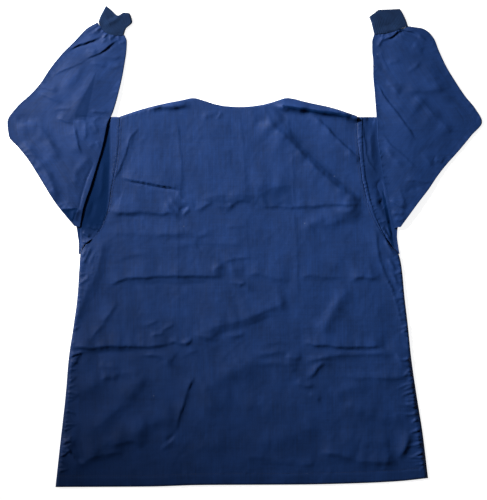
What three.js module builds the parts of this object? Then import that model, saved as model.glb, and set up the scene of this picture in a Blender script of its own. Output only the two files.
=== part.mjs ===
// A long-sleeved medical scrub top with rib-knit cuffs, laid out flat on its front with both
// arms folded up beside the neck. Millimetres, +Z up, +Y towards the neck. The origin is on the
// surface it lies on, under the middle of its outline. Left and right are the wearer's, which
// are also the left and right of the page, because the back of the garment faces up.
import * as THREE from 'three';

// Cloth
const CLOTH = 1.2; // wall of one layer of poplin
const SEAM_GAP = 0.3; // gap that is left between pieces at a seam
const CUFF_GAP = 0.5; // the same at the curved seams of the cuffs
const EDGE_BEND = 0.5; // free height inside a flattened tube at its folded edges
const RIB_WALL = 1.6; // wall of the knitted cuff, between its ribs
const RIB_HEIGHT = 0.6; // how far a rib stands out
const RIBS_ACROSS = 22; // ribs on the upper side of one cuff

// Body
const HEM_Y = -480; // height of the hem's lowest corner
const SHOULDER_Y = 260; // height of the two shoulder points
const LAYER_Z = CLOTH + SEAM_GAP; // underside of the back where it lies on the front
const BODY_LOFT = 2.2; // how far the back stands off the front in its middle
const LOFT_REACH = 26; // distance from the edge at which the back reaches that height
const HEM_TURN = 23; // depth of the turned hem
const HEM_STEP = 0.5; // how far the turned hem stands out
const FRONT_INSET = 2; // how far the front's edge lies inside the back's
const NECK_V_DEPTH = 190; // front neck, from its two top points down to its lowest point
const BACK_COLUMNS = 30;
const BACK_ROW_STEP = 30;
const FRONT_COLUMNS = 16;
const FRONT_ROW_STEP = 80;

// The body's two edges at each height: the side seams, and above the underarm the armholes.
const BODY_EDGES = [
  { y: -480, left: -378, right: 367 },
  { y: -380, left: -367, right: 356 },
  { y: -300, left: -358, right: 344 },
  { y: -220, left: -351, right: 333 },
  { y: -160, left: -342, right: 327 },
  { y: -100, left: -334, right: 320 },
  { y: -40, left: -330, right: 314 },
  { y: -14, left: -328, right: 308 },
  { y: 4, left: -320, right: 291 },
  { y: 22, left: -297, right: 278 },
  { y: 44, left: -283, right: 265 },
  { y: 68, left: -274, right: 253 },
  { y: 90, left: -269, right: 245 },
  { y: 114, left: -266, right: 239 },
  { y: 144, left: -260, right: 233 },
  { y: 184, left: -253, right: 228 },
  { y: 224, left: -250, right: 225 },
  { y: 260, left: -249, right: 225 },
];

// The shoulders and the back neck, from the left shoulder point to the right one.
const TOP_EDGE = [
  { x: -249, y: 261 },
  { x: -223, y: 270 },
  { x: -189, y: 280 },
  { x: -155, y: 288 },
  { x: -123, y: 294 },
  { x: -103, y: 298 },
  { x: -79, y: 292 },
  { x: -57, y: 285 },
  { x: -33, y: 281 },
  { x: -9, y: 280 },
  { x: 21, y: 282 },
  { x: 47, y: 287 },
  { x: 67, y: 293 },
  { x: 84, y: 298 },
  { x: 127, y: 289 },
  { x: 177, y: 278 },
  { x: 225, y: 262 },
];
const NECK_LEFT_X = -103;
const NECK_RIGHT_X = 84;

const HEM_EDGE = [
  { x: -378, y: -480 },
  { x: -189, y: -479 },
  { x: -89, y: -476 },
  { x: 111, y: -475 },
  { x: 237, y: -472 },
  { x: 311, y: -468 },
  { x: 367, y: -462 },
];

// The largest folds of the back, as soft ridges. Width is from a fold's line to where it has
// died out.
const BACK_FOLDS = [
  { name: 'top_press_left', from: [-273, 66], via: [-159, 64], to: [-125, 80], height: 3.2, width: 28 },
  { name: 'top_press_middle', from: [-119, 92], via: [-39, 96], to: [15, 92], height: 3.6, width: 30 },
  { name: 'top_press_right', from: [21, 86], via: [111, 86], to: [241, 92], height: 2.4, width: 28 },
  { name: 'middle_press_left', from: [-265, -66], via: [-169, -50], to: [-39, -52], height: 3.2, width: 30 },
  { name: 'middle_press_right', from: [5, -50], via: [66, -54], to: [111, -52], height: 3.0, width: 28 },
  { name: 'middle_press_side', from: [201, -60], via: [231, -50], to: [275, -48], height: 2.8, width: 28 },
  { name: 'low_press_left', from: [-340, -190], via: [-279, -186], to: [-139, -186], height: 3.8, width: 30 },
  { name: 'low_press_right', from: [117, -184], via: [201, -190], to: [300, -196], height: 3.8, width: 30 },
  { name: 'yoke_diagonal', from: [35, 264], via: [121, 200], to: [225, 104], height: 4.2, width: 32 },
  { name: 'yoke_second', from: [127, 268], via: [188, 220], to: [222, 182], height: 3.0, width: 28 },
  { name: 'blade_tuck', from: [-237, 138], via: [-189, 134], to: [-135, 124], height: 3.2, width: 28 },
  { name: 'press_line_left', from: [-133, 254], via: [-129, 180], to: [-127, 112], height: 2.2, width: 26 },
  { name: 'skirt_diagonal_left', from: [-339, -418], via: [-269, -392], to: [-150, -330], height: 4.4, width: 38 },
  { name: 'skirt_diagonal_long', from: [-130, -310], via: [-59, -262], to: [20, -206], height: 3.4, width: 36 },
  { name: 'skirt_tuck', from: [-108, -266], via: [-127, -316], to: [-143, -372], height: 3.2, width: 28 },
  { name: 'waist_diagonal', from: [-60, -160], via: [30, -136], to: [131, -96], height: 2.8, width: 36 },
  { name: 'side_diagonal_right', from: [225, -66], via: [178, -126], to: [138, -186], height: 3.0, width: 32 },
  { name: 'skirt_right', from: [171, -396], via: [261, -408], to: [318, -398], height: 4.2, width: 38 },
  { name: 'side_roll_left', from: [-305, 10], via: [-312, -40], to: [-328, -110], height: 3.4, width: 26 },
  { name: 'side_roll_right', from: [284, 8], via: [292, -36], to: [305, -90], height: 3.4, width: 26 },
];

// Sleeves
// Each row is one line across a flattened sleeve, from its cuff to the underarm: outer is the
// end on the elbow side, inner the end beside the neck or the armhole. bow is how far the
// line's middle is pushed towards the cuff, and puff how far the upper layer stands off the
// lower one.
const LEFT_SLEEVE = [
  { outer: [-294, 449], inner: [-240, 424], bow: -10, puff: 1.2 },
  { outer: [-315, 437], inner: [-235, 410], bow: -4, puff: 2.8 },
  { outer: [-339, 412], inner: [-236, 390], bow: 0, puff: 3.0 },
  { outer: [-365, 386], inner: [-239, 370], bow: 0, puff: 3.0 },
  { outer: [-389, 356], inner: [-243, 346], bow: 0, puff: 3.0 },
  { outer: [-409, 326], inner: [-249, 318], bow: 0, puff: 3.0 },
  { outer: [-427, 306], inner: [-255, 294], bow: 0, puff: 3.0 },
  { outer: [-455, 280], inner: [-263, 268], bow: 0, puff: 3.0 },
  { outer: [-474, 250], inner: [-273, 246], bow: 0, puff: 3.0 },
  { outer: [-471, 222], inner: [-279, 216], bow: 0, puff: 3.0 },
  { outer: [-451, 198], inner: [-285, 192], bow: 0, puff: 3.0 },
  { outer: [-432, 174], inner: [-293, 166], bow: 0, puff: 3.0 },
  { outer: [-414, 146], inner: [-301, 140], bow: 0, puff: 2.8 },
  { outer: [-398, 120], inner: [-309, 114], bow: 0, puff: 2.4 },
  { outer: [-379, 90], inner: [-319, 86], bow: 0, puff: 2.0 },
  { outer: [-357, 62], inner: [-325, 60], bow: 0, puff: 1.0 },
  { outer: [-340, 42], inner: [-328, 40], bow: 0, puff: 0.4 },
];
const RIGHT_SLEEVE = [
  { outer: [327, 441], inner: [259, 425], bow: -3, puff: 1.2 },
  { outer: [356, 437], inner: [255, 410], bow: -2, puff: 2.8 },
  { outer: [378, 418], inner: [255, 392], bow: 0, puff: 3.0 },
  { outer: [389, 392], inner: [257, 370], bow: 0, puff: 3.0 },
  { outer: [403, 362], inner: [257, 344], bow: 0, puff: 3.0 },
  { outer: [421, 332], inner: [259, 318], bow: 0, puff: 3.0 },
  { outer: [441, 302], inner: [261, 292], bow: 0, puff: 3.0 },
  { outer: [462, 276], inner: [263, 266], bow: 0, puff: 3.0 },
  { outer: [475, 250], inner: [264, 242], bow: 0, puff: 3.0 },
  { outer: [453, 222], inner: [265, 214], bow: 0, puff: 3.0 },
  { outer: [430, 194], inner: [269, 186], bow: 0, puff: 3.0 },
  { outer: [405, 166], inner: [273, 160], bow: 0, puff: 3.0 },
  { outer: [386, 142], inner: [277, 136], bow: 0, puff: 2.8 },
  { outer: [367, 114], inner: [283, 110], bow: 0, puff: 2.4 },
  { outer: [347, 88], inner: [287, 84], bow: 0, puff: 2.0 },
  { outer: [328, 62], inner: [291, 60], bow: 0, puff: 1.0 },
  { outer: [312, 40], inner: [297, 38], bow: 0, puff: 0.4 },
];
const RINGS_A_ROW = 2; // rings for each row of a sleeve's table
const SLEEVE_ACROSS = 7; // cells across one layer of a sleeve

const LEFT_SLEEVE_FOLDS = [
  { name: 'cuff_pleat', from: [-350, 392], via: [-319, 404], to: [-285, 418], height: 3.0, width: 22 },
  { name: 'forearm_long', from: [-389, 350], via: [-315, 384], to: [-252, 420], height: 3.2, width: 24 },
  { name: 'elbow_facet', from: [-300, 350], via: [-332, 290], to: [-345, 252], height: 2.8, width: 26 },
  { name: 'elbow_crease', from: [-375, 264], via: [-338, 236], to: [-322, 186], height: 2.6, width: 24 },
  { name: 'upper_arm_soft', from: [-445, 232], via: [-395, 180], to: [-372, 110], height: 2.8, width: 28 },
];
const RIGHT_SLEEVE_FOLDS = [
  { name: 'cuff_overhang', from: [285, 404], via: [325, 422], to: [364, 402], height: 3.2, width: 24 },
  { name: 'elbow_long', from: [262, 330], via: [301, 276], to: [343, 210], height: 2.8, width: 24 },
  { name: 'upper_arm_long', from: [270, 244], via: [305, 200], to: [345, 160], height: 2.6, width: 24 },
  { name: 'forearm_soft', from: [315, 322], via: [361, 326], to: [411, 330], height: 2.6, width: 28 },
  { name: 'outer_soft', from: [341, 310], via: [390, 268], to: [420, 214], height: 2.8, width: 30 },
];

// The stretch of each sleeve next to its armhole, which is folded in under the rest of it:
// hidden is where its fold lies under the sleeve at each height.
const LEFT_TUCK = [
  { y: -14, hidden: -331 },
  { y: 4, hidden: -331 },
  { y: 22, hidden: -333 },
  { y: 44, hidden: -337 },
  { y: 68, hidden: -354 },
  { y: 90, hidden: -366 },
  { y: 114, hidden: -363 },
  { y: 144, hidden: -350 },
  { y: 184, hidden: -331 },
  { y: 224, hidden: -311 },
  { y: 260, hidden: -295 },
];
const RIGHT_TUCK = [
  { y: -14, hidden: 310 },
  { y: 4, hidden: 307 },
  { y: 22, hidden: 305 },
  { y: 44, hidden: 307 },
  { y: 68, hidden: 318 },
  { y: 90, hidden: 330 },
  { y: 114, hidden: 331 },
  { y: 144, hidden: 320 },
  { y: 184, hidden: 309 },
  { y: 224, hidden: 298 },
  { y: 260, hidden: 290 },
];
const TUCK_Z = 3.2; // top of the folded layers
const TUCK_VALLEY = 1.0; // how far the cloth sinks between the armhole and the sleeve over it
const TUCK_COLUMNS = 5;
const TUCK_ROW_STEP = 30;
const SUPPORT_MARGIN = 14; // how far past the folded layers the sleeve stays level with them
const SUPPORT_SLOPE = 45; // width over which it then comes down to the surface

// Cuffs
// Lines across a flattened cuff, from a little past its seam to its mouth.
const LEFT_CUFF = [
  { outer: [-292, 456], inner: [-235, 434], bow: -10 },
  { outer: [-286, 470], inner: [-223, 451], bow: -9 },
  { outer: [-277, 482], inner: [-229, 469], bow: -8 },
];
const RIGHT_CUFF = [
  { outer: [324, 452], inner: [257, 437], bow: 0 },
  { outer: [318, 465], inner: [252, 450], bow: 4 },
  { outer: [311, 476], inner: [249, 460], bow: 8 },
];
const CUFF_PUFF = 1.0; // how far a cuff's upper layer stands off its lower one
const CUFF_UNDER_CELLS = 8; // cells across a cuff's plain lower layer

// Curves and tables
const mix = (a, b, t) => a + (b - a) * t;
const clamp = (value, low, high) => Math.min(high, Math.max(low, value));
const ease = (t) => t * t * (3 - 2 * t);

// Reads column at key = value from a table sorted by key, with straight lines between rows.
function readTable(table, key, column, value) {
  if (value <= table[0][key]) return table[0][column];
  for (let i = 1; i < table.length; i++) {
    if (value <= table[i][key]) {
      const share = (value - table[i - 1][key]) / (table[i][key] - table[i - 1][key]);
      return mix(table[i - 1][column], table[i][column], share);
    }
  }
  return table[table.length - 1][column];
}

// The given heights, with more put between them so that none are further apart than step.
function levelsThrough(heights, step) {
  const levels = [heights[0]];
  for (let i = 1; i < heights.length; i++) {
    const count = Math.ceil((heights[i] - heights[i - 1]) / step);
    for (let k = 1; k <= count; k++) levels.push(mix(heights[i - 1], heights[i], k / count));
  }
  return levels;
}

// Shortest distance from (x, y) to a line of points, and how far along the line that is.
function nearestOnLine(points, x, y) {
  let best = { distance: Infinity, along: 0 };
  for (let i = 1; i < points.length; i++) {
    const [ax, ay] = points[i - 1];
    const [bx, by] = points[i];
    const lengthSquared = (bx - ax) ** 2 + (by - ay) ** 2;
    const t = clamp(((x - ax) * (bx - ax) + (y - ay) * (by - ay)) / lengthSquared, 0, 1);
    const distance = Math.hypot(x - mix(ax, bx, t), y - mix(ay, by, t));
    if (distance < best.distance) best = { distance, along: (i - 1 + t) / (points.length - 1) };
  }
  return best;
}

// Height of all of a table's folds at (x, y): each is a soft ridge that fades at its ends.
function foldHeight(folds, x, y) {
  let height = 0;
  for (const fold of folds) {
    const { distance, along } = nearestOnLine([fold.from, fold.via, fold.to], x, y);
    if (distance >= fold.width) continue;
    const across = Math.cos((Math.PI / 2) * (distance / fold.width)) ** 2;
    const fade = 0.35 + 0.65 * Math.sin(Math.PI * along);
    height += fold.height * across * fade;
  }
  return height;
}

// Solids
function meshGeometry(positions, triangles) {
  const geometry = new THREE.BufferGeometry();
  geometry.setAttribute('position', new THREE.Float32BufferAttribute(positions.flat(), 3));
  geometry.setIndex(triangles.flat());
  geometry.computeVertexNormals();
  return geometry;
}

// A closed wall between two grids of points: upper and lower give [x, y, z] at u, from 0 on the
// left to 1 on the right, and at each of the given levels, from the lowest to the highest.
function wallFromGrids(columns, levels, upper, lower) {
  const positions = [];
  const triangles = [];
  const rows = levels.length - 1;
  const stride = columns + 1;
  const layer = stride * (rows + 1);
  for (const side of [upper, lower]) {
    for (const level of levels) {
      for (let i = 0; i <= columns; i++) positions.push(side(i / columns, level));
    }
  }
  const quad = (a, b, c, d) => triangles.push([a, b, c], [a, c, d]);
  for (let j = 0; j < rows; j++) {
    for (let i = 0; i < columns; i++) {
      const a = j * stride + i;
      quad(a, a + 1, a + 1 + stride, a + stride);
      quad(layer + a, layer + a + stride, layer + a + 1 + stride, layer + a + 1);
    }
  }
  const rim = [];
  for (let i = 0; i < columns; i++) rim.push(i);
  for (let j = 0; j < rows; j++) rim.push(j * stride + columns);
  for (let i = columns; i > 0; i--) rim.push(rows * stride + i);
  for (let j = rows; j > 0; j--) rim.push(j * stride);
  rim.forEach((a, k) => {
    const b = rim[(k + 1) % rim.length];
    quad(a, layer + a, layer + b, b);
  });
  return meshGeometry(positions, triangles);
}

// A tube's wall through rings, each with as many outer points as inner ones, open at both ends.
function tubeFromRings(rings) {
  const positions = [];
  const triangles = [];
  const round = rings[0].outer.length;
  const outerAt = (ring, k) => ring * 2 * round + (k % round);
  const innerAt = (ring, k) => outerAt(ring, k) + round;
  for (const ring of rings) positions.push(...ring.outer, ...ring.inner);
  const quad = (a, b, c, d) => triangles.push([a, b, c], [a, c, d]);
  const last = rings.length - 1;
  for (let k = 0; k < round; k++) {
    for (let ring = 0; ring < last; ring++) {
      quad(outerAt(ring, k), outerAt(ring, k + 1), outerAt(ring + 1, k + 1), outerAt(ring + 1, k));
      quad(innerAt(ring, k), innerAt(ring + 1, k), innerAt(ring + 1, k + 1), innerAt(ring, k + 1));
    }
    quad(outerAt(0, k), innerAt(0, k), innerAt(0, k + 1), outerAt(0, k + 1));
    quad(outerAt(last, k), outerAt(last, k + 1), innerAt(last, k + 1), innerAt(last, k));
  }
  return meshGeometry(positions, triangles);
}

// Turns a solid's faces round if they point inwards, as on a sleeve that runs the other way.
function facingOut(geometry) {
  const position = geometry.getAttribute('position');
  const index = geometry.getIndex().array;
  const corner = [new THREE.Vector3(), new THREE.Vector3(), new THREE.Vector3()];
  let volume = 0;
  for (let i = 0; i < index.length; i += 3) {
    corner.forEach((point, k) => point.fromBufferAttribute(position, index[i + k]));
    volume += corner[0].dot(corner[1].clone().cross(corner[2]));
  }
  if (volume > 0) return geometry;
  for (let i = 0; i < index.length; i += 3) {
    const second = index[i + 1];
    index[i + 1] = index[i + 2];
    index[i + 2] = second;
  }
  geometry.computeVertexNormals();
  return geometry;
}

// Body panels
// The point of the body's outline grid at u and a level, drawn in from its edges by inset.
function bodyPoint(u, level, inset = 0) {
  const v = (level - HEM_Y) / (SHOULDER_Y - HEM_Y);
  const left = readTable(BODY_EDGES, 'y', 'left', level) + inset;
  const right = readTable(BODY_EDGES, 'y', 'right', level) - inset;
  const x = mix(left, right, u);
  const hem = (readTable(HEM_EDGE, 'x', 'y', x) - HEM_Y + inset) * clamp(1 - 2 * v, 0, 1) ** 2;
  const top = (readTable(TOP_EDGE, 'x', 'y', x) - SHOULDER_Y - inset) * v ** 6;
  return [x, level + hem + top];
}

// How far the back's underside stands above where it lies at its edges.
function backHeight(u, level) {
  const [x, y] = bodyPoint(u, level);
  const left = readTable(BODY_EDGES, 'y', 'left', level);
  const right = readTable(BODY_EDGES, 'y', 'right', level);
  const aboveHem = y - readTable(HEM_EDGE, 'x', 'y', x);
  const belowTop = readTable(TOP_EDGE, 'x', 'y', x) - y;
  const inward = Math.min(x - left, right - x, aboveHem, belowTop);
  const share = Math.sin((Math.PI / 2) * clamp(inward / LOFT_REACH, 0, 1));
  const hemStep = aboveHem < HEM_TURN ? HEM_STEP : 0;
  return share * (BODY_LOFT + foldHeight(BACK_FOLDS, x, y)) + hemStep;
}

function backPanel() {
  const levels = levelsThrough(BODY_EDGES.map((row) => row.y), BACK_ROW_STEP);
  const lower = (u, level) => [...bodyPoint(u, level), LAYER_Z + backHeight(u, level)];
  const upper = (u, level) => [...bodyPoint(u, level), LAYER_Z + backHeight(u, level) + CLOTH];
  return wallFromGrids(BACK_COLUMNS, levels, upper, lower);
}

// The front has the body's outline, with its top edge lowered to a V between the neck points.
function frontPoint(u, level) {
  const [x, y] = bodyPoint(u, level, FRONT_INSET);
  const v = (level - HEM_Y) / (SHOULDER_Y - HEM_Y);
  const middle = (NECK_LEFT_X + NECK_RIGHT_X) / 2;
  const halfNeck = (NECK_RIGHT_X - NECK_LEFT_X) / 2;
  const inNeck = clamp(1 - Math.abs(x - middle) / halfNeck, 0, 1);
  return [x, y - NECK_V_DEPTH * inNeck * v ** 3];
}

function frontPanel() {
  const levels = levelsThrough(BODY_EDGES.map((row) => row.y), FRONT_ROW_STEP);
  const lower = (u, level) => [...frontPoint(u, level), 0];
  const upper = (u, level) => [...frontPoint(u, level), CLOTH];
  return wallFromGrids(FRONT_COLUMNS, levels, upper, lower);
}

// Flattened tubes
// A point at share w across the line from outer to inner, with its middle bowed to the cuff.
function acrossPoint({ outer, inner, bow }, w) {
  const alongX = inner[0] - outer[0];
  const alongY = inner[1] - outer[1];
  const shift = (bow * 4 * w * (1 - w) * Math.sign(alongX)) / Math.hypot(alongX, alongY);
  return [outer[0] + alongX * w - alongY * shift, outer[1] + alongY * w + alongX * shift];
}

// The places round one ring: w runs from 0 at the outer end to 1 at the inner one, and side is
// 1 on the upper layer, 0 at a folded edge and -1 on the lower layer.
function ringOutline(upperCells, lowerCells) {
  const edge = 0.015;
  const outline = [{ w: 0, side: 0 }];
  for (let i = 0; i <= upperCells; i++) {
    outline.push({ w: mix(edge, 1 - edge, i / upperCells), side: 1, index: i });
  }
  outline.push({ w: 1, side: 0 });
  for (let i = lowerCells; i >= 0; i--) {
    outline.push({ w: mix(edge, 1 - edge, i / lowerCells), side: -1 });
  }
  return outline;
}

// One ring of a flattened tube. under gives the height of its underside at (x, y), rise how far
// its upper layer stands off its lower one, and raised how far its outer points stand out more.
function flatRing(row, outline, wall, under, rise, raised) {
  const bend = 2 * wall + EDGE_BEND;
  const edge = wall / Math.hypot(row.inner[0] - row.outer[0], row.inner[1] - row.outer[1]);
  const ring = { outer: [], inner: [] };
  for (const place of outline) {
    const { w, side } = place;
    const [x, y] = acrossPoint(row, w);
    const [innerX, innerY] = acrossPoint(row, clamp(w, edge, 1 - edge));
    const height = { '-1': 0, 0: bend / 2, 1: bend + rise(w, x, y) }[side];
    ring.outer.push([x, y, under(x, y) + height + raised(place)]);
    ring.inner.push([innerX, innerY, under(x, y) + height - side * wall]);
  }
  return ring;
}

// The rows of a sleeve's table, with more put between them on smooth curves.
function sleeveRows(table) {
  const curve = (key) =>
    new THREE.CatmullRomCurve3(table.map((row) => new THREE.Vector3(...row[key], 0)));
  const outer = curve('outer');
  const inner = curve('inner');
  const spans = table.length - 1;
  const rows = [];
  for (let i = 0; i <= spans * RINGS_A_ROW; i++) {
    const place = i / RINGS_A_ROW;
    const before = Math.min(Math.floor(place), spans - 1);
    const between = (column) => mix(table[before][column], table[before + 1][column], place - before);
    const outerPoint = outer.getPoint(place / spans);
    const innerPoint = inner.getPoint(place / spans);
    rows.push({
      outer: [outerPoint.x, outerPoint.y],
      inner: [innerPoint.x, innerPoint.y],
      bow: between('bow'),
      puff: between('puff'),
    });
  }
  return rows;
}

// How high the folded layers hold the sleeve at (x, y). outward is -1 on the left, 1 on the right.
function heldHeight(tuck, outward, x, y) {
  const beyondFold = (x - readTable(tuck, 'y', 'hidden', y)) * outward;
  const beyondTop = y - tuck[tuck.length - 1].y;
  const beyond = Math.max(beyondFold, beyondTop) - SUPPORT_MARGIN;
  return (TUCK_Z + SEAM_GAP) * (1 - ease(clamp(beyond / SUPPORT_SLOPE, 0, 1)));
}

function sleeve(table, folds, tuck, outward) {
  const outline = ringOutline(SLEEVE_ACROSS, SLEEVE_ACROSS);
  const under = (x, y) => heldHeight(tuck, outward, x, y);
  const rings = sleeveRows(table).map((row) => {
    const rise = (w, x, y) => Math.sin(Math.PI * w) * (row.puff + foldHeight(folds, x, y));
    return flatRing(row, outline, CLOTH, under, rise, () => 0);
  });
  return tubeFromRings(rings);
}

// The folded layers beside an armhole, as one solid between its seam and the hidden fold.
function tuckedStretch(tuck, outward) {
  const side = outward < 0 ? 'left' : 'right';
  const seamHeights = BODY_EDGES.map((row) => row.y).filter((y) => y >= tuck[0].y);
  const levels = levelsThrough(seamHeights, TUCK_ROW_STEP);
  const place = (u, level) => {
    const seam = readTable(BODY_EDGES, 'y', side, level) + outward * SEAM_GAP;
    const hidden = readTable(tuck, 'y', 'hidden', level);
    return [outward < 0 ? mix(hidden, seam, u) : mix(seam, hidden, u), level];
  };
  const upper = (u, level) => {
    const fromSeam = outward < 0 ? 1 - u : u;
    const valley = TUCK_VALLEY * Math.sin(Math.PI * clamp(fromSeam * 1.6, 0, 1));
    return [...place(u, level), TUCK_Z - valley];
  };
  const lower = (u, level) => [...place(u, level), 0];
  return wallFromGrids(TUCK_COLUMNS, levels, upper, lower);
}

// A cuff from its seam on the sleeve to its mouth, with ribs along it on its upper side.
function cuff(sleeveTable, cuffTable) {
  const seam = sleeveTable[0];
  const seamRow = {
    outer: [seam.outer[0], seam.outer[1] + CUFF_GAP],
    inner: [seam.inner[0], seam.inner[1] + CUFF_GAP],
    bow: seam.bow,
  };
  const outline = ringOutline(2 * RIBS_ACROSS, CUFF_UNDER_CELLS);
  const rise = (w) => CUFF_PUFF * Math.sin(Math.PI * w);
  const raised = ({ side, index }) => (side > 0 && index % 2 === 1 ? RIB_HEIGHT : 0);
  const rings = [seamRow, ...cuffTable].map((row) =>
    flatRing(row, outline, RIB_WALL, () => 0, rise, raised),
  );
  return tubeFromRings(rings);
}

// Materials and scene
const poplin = new THREE.MeshStandardMaterial({ color: 0x26426f, roughness: 0.75, metalness: 0 });
const poplinInShade = new THREE.MeshStandardMaterial({ color: 0x1c3561, roughness: 0.75, metalness: 0 });
const ribKnit = new THREE.MeshStandardMaterial({ color: 0x263c63, roughness: 0.9, metalness: 0 });

const pieces = [
  ['front', frontPanel(), poplinInShade],
  ['back', backPanel(), poplin],
  ['sleeve_left', sleeve(LEFT_SLEEVE, LEFT_SLEEVE_FOLDS, LEFT_TUCK, -1), poplin],
  ['sleeve_right', sleeve(RIGHT_SLEEVE, RIGHT_SLEEVE_FOLDS, RIGHT_TUCK, 1), poplin],
  ['sleeve_left_tuck', tuckedStretch(LEFT_TUCK, -1), poplinInShade],
  ['sleeve_right_tuck', tuckedStretch(RIGHT_TUCK, 1), poplinInShade],
  ['cuff_left', cuff(LEFT_SLEEVE, LEFT_CUFF), ribKnit],
  ['cuff_right', cuff(RIGHT_SLEEVE, RIGHT_CUFF), ribKnit],
];

const garment = new THREE.Group();
for (const [name, geometry, material] of pieces) {
  const mesh = new THREE.Mesh(facingOut(geometry), material.clone());
  mesh.name = name;
  garment.add(mesh);
}

// The origin goes under the middle of the whole outline.
const outline = new THREE.Box3().setFromObject(garment);
const middle = outline.getCenter(new THREE.Vector3());
garment.children.forEach((mesh) => mesh.geometry.translate(-middle.x, -middle.y, -outline.min.z));

export default garment;
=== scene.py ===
"""A long-sleeved medical scrub top with rib-knit cuffs, laid out flat on its front with both
arms folded up beside the neck.

Tables and shapes are in millimetres on the page: x to the wearer's right, y towards the neck, z
up from the surface it lies on. to_frame() turns them into the metres of the part's own frame.
"""

import math
from collections import namedtuple

import bpy
import numpy as np
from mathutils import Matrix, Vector


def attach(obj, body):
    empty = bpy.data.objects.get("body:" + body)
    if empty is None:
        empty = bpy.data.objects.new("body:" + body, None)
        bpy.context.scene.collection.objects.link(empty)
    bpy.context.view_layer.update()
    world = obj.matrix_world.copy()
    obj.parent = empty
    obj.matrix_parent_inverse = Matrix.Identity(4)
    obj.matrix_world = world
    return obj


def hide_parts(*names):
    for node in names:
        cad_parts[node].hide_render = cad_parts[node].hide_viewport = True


bl_info = {
    "name": "Medical scrub top",
    "version": (1, 0, 0),
    "blender": (4, 5, 0),
    "location": "3D View > Sidebar > Scrub top",
    "description": "Builds a long-sleeved scrub top that is laid out flat on its front",
    "category": "Object",
}

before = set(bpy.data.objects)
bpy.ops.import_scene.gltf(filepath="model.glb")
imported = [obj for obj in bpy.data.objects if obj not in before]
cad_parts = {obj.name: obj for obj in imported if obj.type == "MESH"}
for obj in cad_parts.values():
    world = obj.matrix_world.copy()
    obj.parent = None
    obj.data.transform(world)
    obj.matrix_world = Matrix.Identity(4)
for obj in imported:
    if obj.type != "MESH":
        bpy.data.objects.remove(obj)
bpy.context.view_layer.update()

MM = 0.001
PAGE_MIDDLE = (0.177, 1.0)  # where the part's origin is on the page

# Heights of the layers
CLOTH = 1.2  # one layer of poplin
SEAM_GAP = 0.3
BACK_UNDER = 1.5  # underside of the back where it lies on the front
BACK_LOFT = 2.2  # how far the back stands off the front
FRONT_INSET = 2.0
BEND = 2.9  # height of a folded edge: two layers of cloth and the air in the bend
TUCK_TOP = 3.2

# Body
HEM_Y = -480.0
SHOULDER_Y = 260.0
HEM_TURN = 23.0
# How far the hem and the neck are sewn from their edges on the front, and how deep
HEM_SEWN, NECK_SEWN, SEWN_DEPTH = 20.5, 11.5, 0.42
NECK_V_DEPTH = 190.0
NECK_LEFT_X = -103.0
NECK_RIGHT_X = 84.0

# Rows and columns of each mesh's upper face, and columns of its plain lower face
BACK_MESH = (300, 286, 26)
FRONT_MESH = (150, 130, 26)
SLEEVE_MESH = (250, 116, 15)
TUCK_MESH = (200, 90, 12)
CUFF_MESH = (56, 221, 17)

# Stage, in metres but for the camera's aim
CAMERA_AIM = (-2.0, -6.0)  # the picture's middle, in millimetres on the page
FLOOR_Z, FLOOR_HALF = -0.0006, 4.0
# Place, aim, width, power in watts, colour and spread of each light
KEY_LIGHT = ((-3.4, 1.9, 1.95), (0.08, 0.24, 0.0), 0.7, 12.2, (1.0, 0.99, 0.97), math.radians(25))
FILL_LIGHT = ((0.05, 1.6, 1.0), (0.05, 0.2, 0.0), 0.8, 2.7, (0.93, 0.96, 1.0), math.pi)
WORLD_LIGHT = 0.012
UNIT_SQUARE = ((-1, -1), (1, -1), (1, 1), (-1, 1))
PAPER_GREYS = ("#DADADA", "#E2E2E2")

# y, left edge, right edge: side seams, and from the underarm up the armholes
BODY_EDGES = [
    (-480, -378, 367), (-380, -367, 356), (-300, -358, 344), (-220, -351, 333),
    (-160, -342, 327), (-100, -334, 320), (-40, -330, 314), (-14, -328, 308),
    (4, -320, 291), (22, -297, 278), (44, -283, 265), (68, -274, 253),
    (90, -269, 245), (114, -266, 239), (144, -260, 233), (184, -253, 228),
    (224, -250, 225), (260, -249, 225),
]
# x, y of the shoulders and the back neck
TOP_EDGE = [
    (-249, 261), (-223, 270), (-189, 280), (-155, 288), (-123, 294), (-103, 298),
    (-79, 292), (-57, 285), (-33, 281), (-9, 280), (21, 282), (47, 287), (67, 293),
    (84, 298), (127, 289), (177, 278), (225, 262),
]
# x, y of the hem
HEM_EDGE = [
    (-378, -480), (-189, -479), (-89, -476), (111, -475), (237, -472), (311, -468),
    (367, -462),
]

# outer end, inner end, bow and puff of each line across a sleeve, from the cuff down
LEFT_SLEEVE = [
    ((-294, 449), (-240, 424), -10, 1.2), ((-315, 437), (-235, 410), -4, 2.8),
    ((-339, 412), (-236, 390), 0, 3.0), ((-365, 386), (-239, 370), 0, 3.0),
    ((-389, 356), (-243, 346), 0, 3.0), ((-409, 326), (-249, 318), 0, 3.0),
    ((-427, 306), (-255, 294), 0, 3.0), ((-455, 280), (-263, 268), 0, 3.0),
    ((-474, 250), (-273, 246), 0, 3.0), ((-471, 222), (-279, 216), 0, 3.0),
    ((-451, 198), (-285, 192), 0, 3.0), ((-432, 174), (-293, 166), 0, 3.0),
    ((-414, 146), (-301, 140), 0, 2.8), ((-398, 120), (-309, 114), 0, 2.4),
    ((-379, 90), (-319, 86), 0, 2.0), ((-357, 62), (-325, 60), 0, 1.0),
    ((-340, 42), (-328, 40), 0, 0.4),
]
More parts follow.
